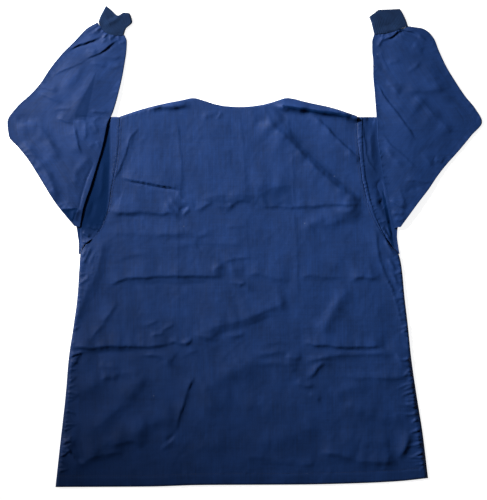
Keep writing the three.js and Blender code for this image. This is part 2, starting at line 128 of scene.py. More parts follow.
RIGHT_SLEEVE = [
    ((327, 441), (259, 425), -3, 1.2), ((356, 437), (255, 410), -2, 2.8),
    ((378, 418), (255, 392), 0, 3.0), ((389, 392), (257, 370), 0, 3.0),
    ((403, 362), (257, 344), 0, 3.0), ((421, 332), (259, 318), 0, 3.0),
    ((441, 302), (261, 292), 0, 3.0), ((462, 276), (263, 266), 0, 3.0),
    ((475, 250), (264, 242), 0, 3.0), ((453, 222), (265, 214), 0, 3.0),
    ((430, 194), (269, 186), 0, 3.0), ((405, 166), (273, 160), 0, 3.0),
    ((386, 142), (277, 136), 0, 2.8), ((367, 114), (283, 110), 0, 2.4),
    ((347, 88), (287, 84), 0, 2.0), ((328, 62), (291, 60), 0, 1.0),
    ((312, 40), (297, 38), 0, 0.4),
]
# y, x of the fold that is hidden under a sleeve
LEFT_TUCK = [
    (-14, -331), (4, -331), (22, -333), (44, -337), (68, -354), (90, -366),
    (114, -363), (144, -350), (184, -331), (224, -311), (260, -295),
]
RIGHT_TUCK = [
    (-14, 310), (4, 307), (22, 305), (44, 307), (68, 318), (90, 330), (114, 331),
    (144, 320), (184, 309), (224, 298), (260, 290),
]
# y, x where the strip of sleeve beside each armhole folds down
LEFT_STRIP = [
    (-14, -329), (4, -321), (22, -298), (44, -285), (68, -276), (90, -273),
    (114, -271), (144, -270), (184, -269), (224, -269), (260, -269),
]
RIGHT_STRIP = [
    (-14, 309), (4, 292), (22, 280), (44, 269), (68, 259), (90, 252), (114, 247),
    (144, 241), (184, 237), (224, 235), (260, 236),
]

# Lines across a flattened cuff, from its seam to its mouth, each from its outer end
LEFT_CUFF = [
    [(-292, 450), (-285, 436), (-273, 426), (-257, 423), (-241, 424)],
    [(-289, 459), (-279, 446), (-265, 437), (-251, 434), (-237, 436)],
    [(-283, 471), (-273, 460), (-259, 450), (-245, 448), (-224, 450)],
    [(-277, 482), (-266, 473), (-253, 462), (-241, 468), (-229, 467)],
]
RIGHT_CUFF = [
    [(327, 441), (312, 436), (297, 431), (281, 427), (259, 425)],
    [(323, 453), (306, 451), (291, 448), (275, 444), (256, 438)],
    [(318, 464), (302, 463), (288, 461), (272, 456), (253, 450)],
    [(311, 476), (292, 475), (269, 474), (260, 468), (249, 460)],
]

# A crease: the height of its ridge, below 0 for a trough, how far it reaches to the left and to
# the right of its line, and the line.
Crease = namedtuple("Crease", "name height left right line")
BODY_CREASES = [
    ("neck_shoulder_right", 8, 12, 6, [
        (55, 282), (79, 279), (111, 275), (151, 269), (191, 263), (219, 258), (243, 255),
    ]),
    ("neck_shoulder_groove", -2.4, 2.5, 6, [(79, 276), (121, 271), (161, 265), (211, 257)]),
    ("neck_shoulder_left", 5.2, 12, 5, [(-197, 276), (-169, 279), (-133, 281), (-105, 283)]),
    ("shoulder_left_groove", -1.3, 4, 8, [(-189, 274), (-159, 276), (-109, 277)]),
    ("blade_slit", 3.2, 22, 2, [
        (-249, 141), (-237, 136), (-213, 130), (-189, 127), (-159, 121), (-133, 117),
        (-119, 114),
    ]),
    ("blade_slit_groove", -2.4, 2, 3, [(-245, 134), (-189, 123), (-129, 113)]),
    ("press_left_top", 0.6, 2.2, 10, [
        (-137, 262), (-133, 234), (-129, 194), (-126, 154), (-125, 120),
    ]),
    ("press_left_kink", 0.7, 2.2, 8, [
        (-125, 120), (-129, 110), (-135, 102), (-129, 92), (-119, 82),
    ]),
    ("press_left_mid", 0.35, 2.5, 9, [
        (-133, 46), (-133, -6), (-133, -56), (-133, -106), (-133, -166),
    ]),
    ("press_middle_top", 0.42, 2.5, 9, [(-11, 268), (-5, 224), (-1, 174), (1, 124), (3, 86)]),
    ("press_middle_low", 0.26, 2.5, 9, [(3, 70), (5, 24), (7, -30), (9, -106)]),
    ("press_middle_second", -0.2, 6, 6, [(-29, 262), (-25, 214), (-27, 154)]),
    ("press_right_top", 0.65, 3, 12, [(87, 264), (89, 238), (93, 212)]),
    ("press_right_mid", 0.42, 2.2, 9, [(95, 200), (97, 164), (97, 124), (99, 84)]),
    ("press_right_low", 0.35, 2.4, 9, [(99, 82), (103, 14), (105, -46), (107, -106)]),
    ("yoke_ridge", 5.4, 9, 20, [
        (39, 260), (65, 234), (91, 210), (111, 190), (141, 158), (171, 130), (201, 108),
        (233, 90),
    ]),
    ("yoke_inner", 1, 8, 8, [(23, 256), (43, 240), (63, 226), (85, 208)]),
    ("neck_fan_one", 0.8, 7, 7, [(3, 274), (15, 262), (27, 248)]),
    ("neck_fan_two", 0.8, 6, 4, [(35, 280), (45, 266), (55, 252)]),
    ("neck_fan_three", 0.8, 6, 4, [(47, 282), (61, 264), (79, 242)]),
    ("neck_fan_four", -1.2, 4, 4, [(57, 286), (73, 268), (91, 252)]),
    ("yoke_second", 3, 3.2, 10, [(127, 270), (155, 246), (183, 218), (209, 194), (231, 174)]),
    ("yoke_third", 1.2, 8, 4, [(199, 186), (215, 178), (229, 166)]),
    ("neck_left_wrinkle", 0.9, 8, 5, [(-89, 258), (-71, 264), (-51, 270)]),
    ("neck_left_tick", 0.8, 4, 3, [(-47, 272), (-51, 262), (-57, 254)]),
    ("arm_wrinkle", 1.2, 1.6, 12, [
        (-207, 246), (-213, 236), (-227, 220), (-233, 204), (-239, 184), (-247, 160),
        (-257, 142), (-263, 130),
    ]),
    ("arm_wrinkle_two", 0.9, 4, 5, [(-223, 232), (-227, 214), (-229, 194)]),
    ("top_press_left", 2.8, 22, 4, [
        (-273, 82), (-263, 74), (-249, 69), (-209, 70), (-169, 67), (-149, 70), (-129, 62),
    ]),
    ("top_press_left_under", -1, 5, 16, [(-265, 62), (-229, 62), (-189, 62), (-149, 62)]),
    ("crumple_a", 1.6, 8, 3.5, [(-163, 96), (-153, 80), (-141, 66), (-125, 54)]),
    ("crumple_b", 1.4, 7, 3, [(-155, 108), (-143, 90), (-133, 74), (-121, 60)]),
    ("crumple_c", 1.3, 7, 4, [(-123, 98), (-111, 86), (-97, 80)]),
    ("crumple_d", 1.5, 4, 3.5, [(-109, 82), (-117, 70), (-125, 60)]),
    ("crumple_e", 1.3, 5, 3, [(-137, 114), (-127, 98), (-113, 82)]),
    ("crumple_f", -1.2, 3, 3, [(-133, 70), (-121, 78), (-109, 74)]),
    ("top_press_middle", 1.7, 12, 4.5, [
        (-113, 84), (-97, 76), (-79, 82), (-65, 88), (-45, 80), (-27, 84), (-9, 94), (7, 90),
        (19, 80),
    ]),
    ("top_press_bump", 1.2, 10, 9, [(-89, 94), (-65, 100), (-41, 92), (-17, 100), (3, 102)]),
    ("top_press_tail", 1, 8, 5, [(-45, 72), (-33, 76), (-21, 88)]),
    ("top_press_right", 2.3, 18, 3.2, [
        (19, 84), (51, 82), (97, 80), (141, 82), (173, 86), (203, 84), (241, 86),
    ]),
    ("top_press_hollow", -1.2, 14, 16, [(27, 96), (55, 102), (87, 94)]),
    ("top_shade_right", 2.6, 14, 16, [
        (111, 32), (135, 46), (155, 56), (183, 66), (211, 72), (239, 78),
    ]),
    ("top_shade_second", 1.6, 10, 10, [(147, 42), (171, 46), (201, 60), (239, 68)]),
    ("under_right", 1.1, 7, 5, [(171, 78), (201, 70), (221, 80), (239, 78)]),
    ("blade_low", 1.1, 14, 7, [
        (-269, 30), (-229, 28), (-189, 26), (-149, 28), (-109, 30), (-89, 22),
    ]),
    ("blade_low_two", 1.2, 12, 6, [(-179, 24), (-149, 26), (-109, 24), (-59, 26)]),
    ("blade_low_three", 0.8, 10, 5, [(-159, 0), (-119, 4), (-79, 8), (1, 4)]),
    ("mid_ripple_one", 0.7, 8, 4, [(-259, -30), (-239, -20), (-209, -14), (-179, -16)]),
    ("mid_ripple_two", 0.7, 8, 4, [(-39, 42), (-13, 40), (5, 46)]),
    ("mid_ripple_three", -0.7, 8, 8, [(-79, 14), (-89, 6), (-99, 0)]),
    ("mid_press_left", 2.8, 22, 3.2, [
        (-271, -78), (-253, -68), (-233, -62), (-209, -61), (-159, -58), (-109, -57),
        (-37, -58),
    ]),
    ("mid_press_left_under", -1.1, 6, 24, [(-239, -76), (-189, -74), (-129, -74), (-59, -72)]),
    ("mid_bump_top", 1.6, 10, 3, [(-49, -30), (-33, -27), (-17, -23), (3, -22), (19, -20)]),
    ("mid_bump_side", 1.6, 9, 6, [(-45, -30), (-57, -42), (-65, -54)]),
    ("mid_bump_face", 1.2, 11, 11, [(-33, -46), (-13, -42), (5, -42)]),
    ("mid_bump_low", 1.7, 9, 3, [(-33, -68), (-19, -72), (-3, -74), (9, -82), (21, -92)]),
    ("mid_bump_tick", 1.3, 4, 3, [(-13, -82), (-7, -74), (3, -70)]),
    ("mid_press_middle", 2.7, 20, 7, [(-1, -56), (23, -52), (43, -57), (63, -63), (95, -64)]),
    ("mid_press_thin", 1.5, 10, 4, [(103, -64), (115, -58), (135, -56), (161, -60), (201, -62)]),
    ("mid_press_right", 3, 20, 5, [(209, -74), (219, -64), (233, -60), (253, -62), (273, -56)]),
    ("side_long_right", 2.6, 17, 14, [
        (147, -182), (161, -156), (179, -124), (193, -102), (209, -78),
    ]),
    ("side_long_second", -0.9, 10, 10, [(183, -90), (163, -122), (143, -158)]),
    ("mid_shade_one", 1, 14, 14, [(171, -42), (197, -18)]),
    ("mid_shade_two", 0.9, 14, 14, [(-137, -106), (-121, -92), (-105, -76)]),
    ("side_left_band", 1.8, 5, 12, [(-253, -106), (-281, -150), (-313, -190)]),
    ("low_diagonal", 3, 28, 12, [
        (-85, -172), (-61, -160), (-37, -154), (-9, -148), (27, -134), (61, -118), (91, -108),
    ]),
    ("low_diagonal_shade", -1.2, 8, 18, [(-77, -184), (-29, -168), (23, -152), (63, -136)]),
    ("low_press_left", 4, 24, 4, [
        (-353, -200), (-329, -200), (-305, -202), (-269, -197), (-245, -198), (-209, -198),
        (-169, -196), (-145, -192),
    ]),
    ("low_press_left_under", -1.3, 6, 22, [(-317, -214), (-269, -210), (-213, -210)]),
    ("low_press_second", 2.2, 12, 5, [
        (-213, -220), (-193, -216), (-173, -217), (-159, -222), (-151, -234), (-137, -238),
    ]),
    ("low_left_light", 1.8, 9, 12, [(-293, -230), (-269, -240), (-245, -244)]),
    ("low_left_light_two", 1.3, 7, 9, [(-269, -256), (-239, -250), (-205, -252)]),
    ("low_left_ridge", 2, 10, 5, [(-289, -260), (-265, -260), (-249, -264)]),
    ("low_crumple_a", 1.8, 7, 3.5, [
        (-157, -196), (-141, -190), (-129, -194), (-117, -190), (-105, -178),
    ]),
    ("low_crumple_b", 1.5, 5, 3, [(-125, -198), (-113, -192), (-103, -182)]),
    ("low_crumple_c", 1.3, 5, 3, [(-189, -176), (-173, -174), (-157, -172)]),
    ("low_crumple_d", 1.2, 5, 3, [(-169, -168), (-153, -160), (-137, -150)]),
    ("low_crumple_e", 1.1, 5, 3, [(-207, -156), (-189, -154), (-169, -146)]),
    ("low_press_dark", 2.6, 14, 6, [
        (-105, -178), (-93, -175), (-79, -180), (-63, -182), (-51, -188),
    ]),
    ("low_press_middle", 1.7, 9, 6, [(-45, -182), (-17, -176), (9, -172)]),
    ("low_ripple_one", 0.9, 8, 5, [(-129, -224), (-113, -212), (-89, -206)]),
    ("low_ripple_two", 0.8, 7, 5, [(35, -194), (61, -190), (95, -192)]),
    ("low_press_right", 3.6, 20, 3.6, [
        (115, -192), (129, -191), (141, -196), (167, -196), (195, -199), (231, -198),
        (267, -198), (283, -200),
    ]),
    ("low_press_right_under", -1.2, 5, 12, [(181, -206), (221, -208), (267, -210)]),
    ("low_press_edge", 2.8, 16, 6, [
        (279, -198), (293, -206), (303, -214), (313, -230), (327, -242), (337, -244),
    ]),
    ("low_second_right", 2.4, 9, 6, [
        (121, -232), (147, -222), (187, -216), (227, -214), (267, -212), (303, -214),
    ]),
    ("low_mid_left", 1.4, 9, 6, [(15, -216), (47, -212), (81, -208), (95, -206)]),
    ("low_mid_dark", 2.6, 10, 6, [(79, -218), (95, -220), (115, -224)]),
    ("low_mid_second", 1.2, 8, 6, [(11, -234), (47, -232), (83, -232), (121, -230)]),
    ("low_knot_main", 2.4, 9, 5, [(119, -262), (135, -254), (147, -240), (159, -232), (175, -238)]),
    ("low_knot_under", 1.8, 8, 4, [(103, -264), (115, -274), (127, -278), (141, -276)]),
    ("low_knot_tick", 1.6, 6, 4, [(127, -294), (139, -298), (151, -308)]),
    ("low_knot_left", 1.3, 7, 5, [(75, -230), (91, -240), (105, -250)]),
    ("low_edge_one", 1.4, 10, 6, [(191, -254), (227, -260), (267, -260), (301, -258), (329, -256)]),
    ("low_edge_two", 1.2, 8, 5, [(267, -262), (295, -262), (331, -258)]),
    ("side_crease_long", 2.2, 2.6, 13, [
        (-99, -254), (-105, -268), (-113, -286), (-121, -308), (-127, -328), (-133, -348),
        (-139, -372),
    ]),
    ("side_crease_knot", -1.3, 4, 4, [(-137, -370), (-145, -380), (-157, -390)]),
    ("skirt_middle", 2.6, 26, 20, [
        (-97, -290), (-73, -280), (-49, -264), (-25, -250), (1, -238), (35, -210),
    ]),
    ("skirt_middle_second", 1.4, 20, 20, [(-97, -330), (-59, -310), (-19, -290)]),
    ("skirt_left_one", 2.2, 24, 14, [
        (-321, -378), (-289, -354), (-261, -328), (-237, -302), (-213, -274), (-193, -252),
    ]),
    ("skirt_left_two", 1.6, 18, 14, [(-349, -306), (-325, -288), (-297, -272), (-265, -262)]),
    ("skirt_left_three", 2.4, 26, 16, [
        (-321, -418), (-289, -398), (-249, -378), (-209, -366), (-169, -346), (-133, -336),
    ]),
    ("skirt_left_hollow", -1.6, 16, 16, [(-205, -356), (-179, -360), (-153, -354)]),
    ("skirt_left_dark", 3, 20, 8, [
        (-337, -432), (-321, -428), (-305, -420), (-281, -414), (-257, -410), (-237, -408),
    ]),
    ("skirt_left_cross", 2.4, 18, 7, [
        (-273, -400), (-253, -392), (-229, -387), (-211, -392), (-193, -396),
    ]),
    ("skirt_corner_left", 3, 12, 6, [
        (-365, -380), (-353, -384), (-345, -396), (-337, -410), (-331, -426),
    ]),
    ("skirt_corner_light", 1.8, 6, 6, [(-365, -390), (-353, -398), (-343, -412)]),
    ("skirt_slit_end", 1.3, 5, 5, [(-169, -406), (-153, -394), (-137, -386)]),
    ("skirt_right_main", 4.4, 26, 10, [
        (147, -410), (175, -412), (199, -416), (223, -426), (255, -428), (287, -428),
        (307, -424),
    ]),
    ("skirt_right_rise", 4, 14, 8, [
        (303, -426), (313, -412), (321, -396), (327, -378), (337, -366),
    ]),
    ("skirt_right_upper", 2.2, 22, 14, [
        (191, -314), (227, -324), (259, -336), (287, -342), (315, -340), (337, -334),
    ]),
    ("skirt_right_top", 1.5, 14, 12, [(171, -302), (201, -286), (227, -278), (255, -286)]),
    ("skirt_right_band", 1.7, 20, 16, [(191, -370), (235, -386), (275, -388), (307, -374)]),
    ("skirt_centre_one", 1.2, 18, 16, [(-9, -310), (35, -322), (75, -334), (111, -334)]),
    ("skirt_centre_two", 1.3, 22, 18, [(11, -398), (55, -386), (103, -370), (151, -354)]),
    ("skirt_centre_three", 1, 16, 14, [(-117, -404), (-79, -398), (-29, -400)]),
    ("skirt_hem_one", 0.9, 10, 6, [(-9, -424), (31, -420), (71, -428), (111, -434)]),
    ("skirt_hem_two", 1.1, 10, 5, [(107, -428), (123, -432), (143, -432)]),
    ("side_fold_left_ridge", 2, 9, 16, [
        (-281, 22), (-285, -6), (-293, -38), (-307, -74), (-321, -106), (-333, -134),
        (-345, -158),
    ]),
    ("side_fold_left_shade", 0.5, 3, 22, [
        (-269, 22), (-273, -6), (-279, -30), (-287, -58), (-297, -86), (-313, -114),
    ]),
    ("side_wrinkle_a", 1.7, 4, 3, [(-305, 6), (-311, -10), (-319, -26), (-325, -36)]),
    ("side_wrinkle_b", 1.5, 4, 3, [(-313, 2), (-319, -10), (-327, -20)]),
    ("side_wrinkle_c", 1.5, 4, 3, [(-309, -54), (-317, -64), (-329, -70)]),
    ("side_wrinkle_d", 1.2, 3, 3, [(-297, -6), (-305, -24), (-311, -38)]),
    ("side_wrinkle_e", 1.7, 3, 4, [(279, 18), (287, 4), (295, -10), (303, -22)]),
    ("side_wrinkle_f", 1.5, 3, 4, [(285, -22), (293, -34), (301, -50)]),
    ("side_wrinkle_g", 1.4, 3, 4, [(289, -46), (299, -62), (307, -78)]),
    ("side_seam_right", 0.9, 2, 6, [(287, -72), (297, -94), (303, -116), (311, -142), (317, -166)]),
    ("side_tuck_left_a", 1.7, 5, 3, [(-347, -226), (-337, -222), (-325, -210)]),
    ("side_tuck_left_b", 1.9, 5, 3, [(-349, -240), (-339, -232), (-331, -220)]),
    ("yoke_second_line", -0.9, 2, 2.2, [
        (131, 270), (159, 245), (187, 218), (213, 194), (233, 176),
    ]),
    ("top_press_facet", 1.6, 30, 15, [(11, 120), (35, 126), (67, 126), (93, 120)]),
    ("yoke_hollow", -1.6, 5, 12, [
        (95, 222), (119, 198), (151, 168), (183, 138), (211, 116), (235, 100),
    ]),
    ("side_fold_right_ridge", 1.4, 2, 10, [
        (261, 42), (264, 10), (269, -20), (276, -44), (287, -68), (301, -96),
    ]),
    ("skirt_left_hook", 3.2, 2, 14, [
        (-363, -380), (-353, -398), (-339, -422), (-325, -432), (-309, -428),
    ]),
]
LEFT_SLEEVE_CREASES = [
    ("cuff_long", 2.2, 15, 2.2, [
        (-357, 393), (-345, 397), (-331, 404), (-317, 408), (-301, 414), (-281, 424),
    ]),
    ("cuff_long_groove", -1.1, 2.2, 4, [(-353, 391), (-329, 401), (-309, 408), (-285, 419)]),
    ("forearm_long", 2, 13, 2.2, [
        (-319, 372), (-309, 379), (-291, 386), (-275, 399), (-259, 410), (-247, 418),
    ]),
    ("forearm_long_groove", -0.9, 2, 3, [
        (-321, 370), (-305, 379), (-287, 386), (-271, 398), (-253, 411),
    ]),
    ("forearm_second", 1.2, 6, 3.5, [(-309, 368), (-293, 366), (-273, 360)]),
    ("forearm_third", 1, 7, 4, [(-289, 382), (-269, 378), (-241, 380)]),
    ("forearm_fourth", 0.9, 7, 4, [(-281, 360), (-261, 358), (-241, 362)]),
    ("forearm_soft", 1.4, 13, 13, [(-365, 314), (-349, 328), (-333, 346), (-317, 360)]),
    ("facet_left_edge", 1.7, 26, 12, [
        (-293, 358), (-303, 336), (-315, 316), (-325, 298), (-335, 280), (-341, 262),
        (-339, 252),
    ]),
    ("facet_floor", -0.4, 9, 9, [(-305, 322), (-317, 298), (-327, 278), (-329, 256)]),
    ("facet_base", 0.6, 7, 3, [(-337, 252), (-325, 250), (-315, 252)]),
    ("elbow_line_a", 1.4, 8, 4, [(-411, 324), (-393, 316), (-369, 310)]),
    ("elbow_line_b", 1.7, 9, 3.2, [(-417, 310), (-397, 302), (-377, 294), (-361, 286)]),
    ("elbow_line_c", 0.8, 5, 3, [(-385, 272), (-365, 276), (-341, 274)]),
    ("elbow_crease_a", 1.8, 12, 2.5, [(-377, 260), (-363, 254), (-349, 248), (-341, 244)]),
    ("elbow_crease_b", 2, 2, 12, [(-341, 246), (-337, 230), (-333, 210), (-329, 194), (-327, 182)]),
    ("elbow_crease_c", 1.1, 4, 5, [(-317, 254), (-317, 234), (-319, 210)]),
    ("elbow_knot_a", 0.9, 4, 4, [(-309, 256), (-301, 246), (-295, 234), (-289, 226)]),
    ("elbow_knot_b", 0.65, 4, 3, [(-303, 250), (-295, 256), (-285, 260)]),
    ("elbow_knot_c", 0.75, 6, 6, [(-313, 246), (-305, 232), (-295, 224)]),
    ("elbow_knot_d", 0.7, 5, 4, [(-297, 212), (-291, 202), (-285, 202)]),
    ("elbow_knot_e", 0.6, 5, 5, [(-313, 198), (-305, 204), (-297, 210)]),
    ("elbow_line_d", 1.2, 7, 3.5, [(-309, 272), (-293, 270), (-269, 267)]),
    ("tip_fan_a", -1, 9, 9, [(-457, 252), (-441, 258), (-421, 262)]),
    ("tip_fan_b", -0.9, 7, 7, [(-445, 248), (-429, 254), (-409, 258)]),
    ("tip_main", 2.7, 9, 18, [
        (-461, 240), (-435, 242), (-413, 237), (-395, 218), (-381, 194), (-367, 170),
    ]),
    ("tip_low", 3.6, 10, 22, [(-447, 212), (-421, 182), (-395, 146), (-381, 114), (-379, 86)]),
    ("arm_soft_a", 1.5, 12, 10, [(-333, 166), (-337, 142), (-339, 114)]),
    ("arm_soft_b", 1.6, 9, 10, [(-305, 182), (-321, 168), (-333, 150)]),
    ("edge_band_groove", -0.7, 1.8, 3, [
        (-299, 174), (-307, 154), (-315, 132), (-323, 108), (-329, 86), (-330, 62),
    ]),
    ("tip_dark_a", 1.6, 8, 3, [(-367, 78), (-355, 74), (-345, 76), (-333, 78)]),
    ("tip_dark_b", 1.9, 4, 4, [(-339, 76), (-341, 62), (-343, 50)]),
    ("tip_light", 1.8, 5, 5, [(-329, 78), (-335, 64), (-337, 48)]),
    ("gather_a", 1.05, 4, 3, [(-283, 418), (-277, 422), (-273, 428)]),
    ("gather_b", 0.98, 3.5, 3, [(-287, 410), (-279, 412), (-275, 418)]),
    ("gather_c", 1.05, 4, 3.5, [(-269, 414), (-263, 422), (-257, 422)]),
    ("gather_d", 0.84, 4, 3, [(-299, 432), (-291, 436), (-285, 440)]),
    ("gather_e", 0.84, 4, 3, [(-305, 426), (-295, 430), (-287, 432)]),
    ("gather_f", 0.84, 4, 3, [(-253, 406), (-245, 408), (-237, 410)]),
    ("gather_g", 0.77, 5, 4, [(-317, 394), (-305, 390), (-293, 392)]),
    ("gather_h", 0.7, 4, 4, [(-323, 424), (-309, 434), (-293, 444)]),
    ("forearm_thin", 1.1, 12, 1.8, [
        (-387, 340), (-365, 351), (-345, 360), (-325, 368), (-313, 376),
    ]),
]
RIGHT_SLEEVE_CREASES = [
    ("cuff_left_line", 1.8, 5, 4, [(265, 398), (271, 410), (279, 422)]),
    ("cuff_roll_left", 2.4, 9, 3, [
        (275, 408), (281, 416), (291, 419), (299, 424), (307, 431), (317, 434),
    ]),
    ("cuff_roll_right", 2.4, 12, 2.6, [(311, 433), (327, 432), (339, 429), (351, 420), (365, 410)]),
    ("cuff_roll_groove", -1.5, 2.6, 5, [
        (279, 410), (295, 417), (309, 427), (321, 431), (337, 426), (355, 414),
    ]),
    ("cuff_puff_a", 1, 9, 9, [(335, 406), (347, 396), (359, 390)]),
    ("forearm_edge", 0.6, 4, 6, [(275, 398), (273, 382), (279, 366), (287, 352), (293, 340)]),
    ("forearm_edge_two", 0.6, 6, 6, [(261, 390), (263, 366), (271, 346)]),
    ("forearm_tick_a", 1, 5, 4, [(321, 348), (333, 354), (343, 362), (351, 372)]),
    ("forearm_tick_b", 0.9, 5, 4, [(283, 366), (299, 370), (311, 374)]),
    ("forearm_line_a", 1.7, 10, 5, [(279, 326), (293, 322), (303, 312), (313, 304)]),
    ("forearm_cross", 1.9, 15, 7, [(311, 308), (335, 312), (359, 312), (387, 316), (415, 320)]),
    ("forearm_cross_low", 0.9, 12, 12, [(279, 282), (303, 278), (331, 284), (359, 292)]),
    ("elbow_long", 1.7, 1.8, 12, [
        (263, 328), (279, 300), (295, 278), (315, 252), (329, 232), (341, 208),
    ]),
    ("elbow_second", 1.1, 1.8, 10, [(271, 228), (291, 204), (311, 188), (331, 168), (347, 152)]),
    ("elbow_third", 1.5, 9, 5, [(279, 206), (291, 186), (305, 170), (321, 160)]),
    ("upper_soft", 3.4, 9, 26, [(335, 304), (357, 286), (375, 266), (397, 246), (415, 222)]),
    ("upper_soft_low", 0.5, 20, 16, [(307, 258), (331, 254), (359, 242), (387, 226)]),
    ("tip_tick_a", 1.2, 9, 3.5, [(349, 186), (361, 178), (371, 166), (381, 164)]),
    ("tip_tick_b", 1.2, 8, 3, [(379, 174), (387, 173), (397, 168)]),
    ("low_line_a", 1.5, 8, 4, [(319, 132), (339, 134), (359, 130), (379, 132)]),
    ("low_line_b", 0.8, 4, 8, [(307, 126), (311, 110), (317, 90), (323, 72)]),
    ("low_line_c", 2.2, 9, 3, [(285, 94), (299, 88), (311, 82), (321, 74)]),
    ("low_patch", -1.3, 8, 8, [(317, 114), (335, 114), (353, 120)]),
    ("low_line_d", 1.4, 8, 5, [(291, 70), (307, 66), (323, 68)]),
    ("low_line_e", 1.2, 7, 5, [(295, 56), (311, 54), (323, 60)]),
    ("outer_soft", 1.5, 18, 16, [(359, 374), (383, 326), (415, 286)]),
    ("elbow_long_line", -0.4, 2, 2, [
        (267, 322), (281, 300), (297, 278), (317, 252), (331, 232), (343, 208),
    ]),
    ("elbow_second_line", -0.3, 2, 2, [(275, 226), (293, 204), (313, 188), (333, 168), (345, 154)]),
]
LEFT_TUCK_CREASES = [
    ("base_ridge", 1.2, 8, 8, [(-281, 180), (-284, 130), (-292, 90)]),
    ("base_hollow", -1.2, 6, 6, [(-300, 96), (-306, 70), (-312, 52)]),
    ("underarm_fold_a", 2.38, 5, 2, [(-327, 30), (-317, 26), (-308, 18)]),
    ("underarm_fold_b", 2.38, 5, 2, [(-328, 14), (-316, 10), (-300, 18)]),
    ("underarm_fold_c", 1.88, 5, 2, [(-329, 4), (-318, 2), (-308, 6)]),
    ("underarm_fold_d", 1.62, 6, 2, [(-318, 44), (-306, 38), (-292, 34)]),
]
RIGHT_TUCK_CREASES = [
    ("seam_fold", 1.2, 3, 9, [
        (236, 252), (237, 228), (240, 208), (243, 186), (249, 168), (258, 156), (267, 142),
    ]),
    ("middle_ridge", 1.8, 8, 8, [(256, 240), (252, 210), (255, 176), (262, 150)]),
    ("hollow_top", -1.5, 10, 10, [(240, 256), (252, 256), (264, 254)]),
    ("hollow_middle", -2.6, 10, 12, [(262, 134), (272, 122), (274, 108), (262, 100)]),
    ("hollow_low", -2.6, 7, 10, [(262, 84), (274, 88), (283, 92), (288, 76)]),
    ("ridge_low", 2.0, 8, 8, [(253, 112), (264, 92), (276, 66), (290, 40)]),
    ("underarm_fold_a", 1.8, 4, 3, [(268, 44), (280, 30), (294, 10)]),
    ("underarm_fold_b", 1.6, 4, 3, [(282, 44), (292, 28), (300, 10)]),
    ("underarm_tick", 1.1, 4, 3, [(272, 50), (282, 52), (292, 48)]),
]
LEFT_CUFF_CREASES = [
    ("lobe_ridge", 2.4, 7, 10, [(-242, 468), (-256, 456), (-272, 447), (-284, 442)]),
    ("lobe_groove", -1.5, 4, 6, [(-253, 462), (-264, 459), (-278, 452)]),
    ("seam_roll", 1.2, 6, 6, [(-286, 438), (-270, 430), (-246, 428)]),
]
RIGHT_CUFF_CREASES = [
    ("seam_roll", 1.3, 5, 6, [(318, 438), (296, 434), (268, 430)]),
    ("seam_dip", -0.9, 6, 6, [(300, 446), (282, 442), (266, 440)]),
]
# Creases that show from below on the front
FRONT_CREASES = [
    ("press_high", -0.8, 12, 5, [(-250, 84), (-150, 78), (-40, 84)]),
    ("press_high_right", -0.7, 10, 5, [(20, 88), (120, 82), (232, 86)]),
    ("press_low", -0.8, 14, 6, [(-318, -62), (-180, -56), (-60, -58)]),
    ("press_low_right", -0.8, 14, 6, [(40, -56), (180, -60), (300, -54)]),
    ("press_hem", -0.8, 14, 6, [(-338, -196), (-200, -190), (-40, -194)]),
    ("press_hem_right", -0.8, 14, 6, [(60, -190), (190, -196), (318, -188)]),
    ("press_line_left", -0.6, 4, 4, [(-132, 120), (-130, -80), (-134, -300)]),
    ("press_line_right", -0.6, 4, 4, [(106, 110), (108, -90), (104, -290)]),
    ("diagonal_left", -0.8, 16, 12, [(-300, -380), (-210, -300), (-150, -230)]),
    ("diagonal_right", -0.8, 16, 12, [(290, -350), (220, -280), (170, -220)]),
    ("diagonal_waist", -0.7, 16, 12, [(-60, -130), (20, -60), (120, -20)]),
    ("diagonal_chest", -0.7, 12, 8, [(-210, 200), (-160, 140), (-120, 40)]),
    ("diagonal_shoulder", -0.7, 12, 8, [(200, 220), (150, 150), (110, 60)]),
]

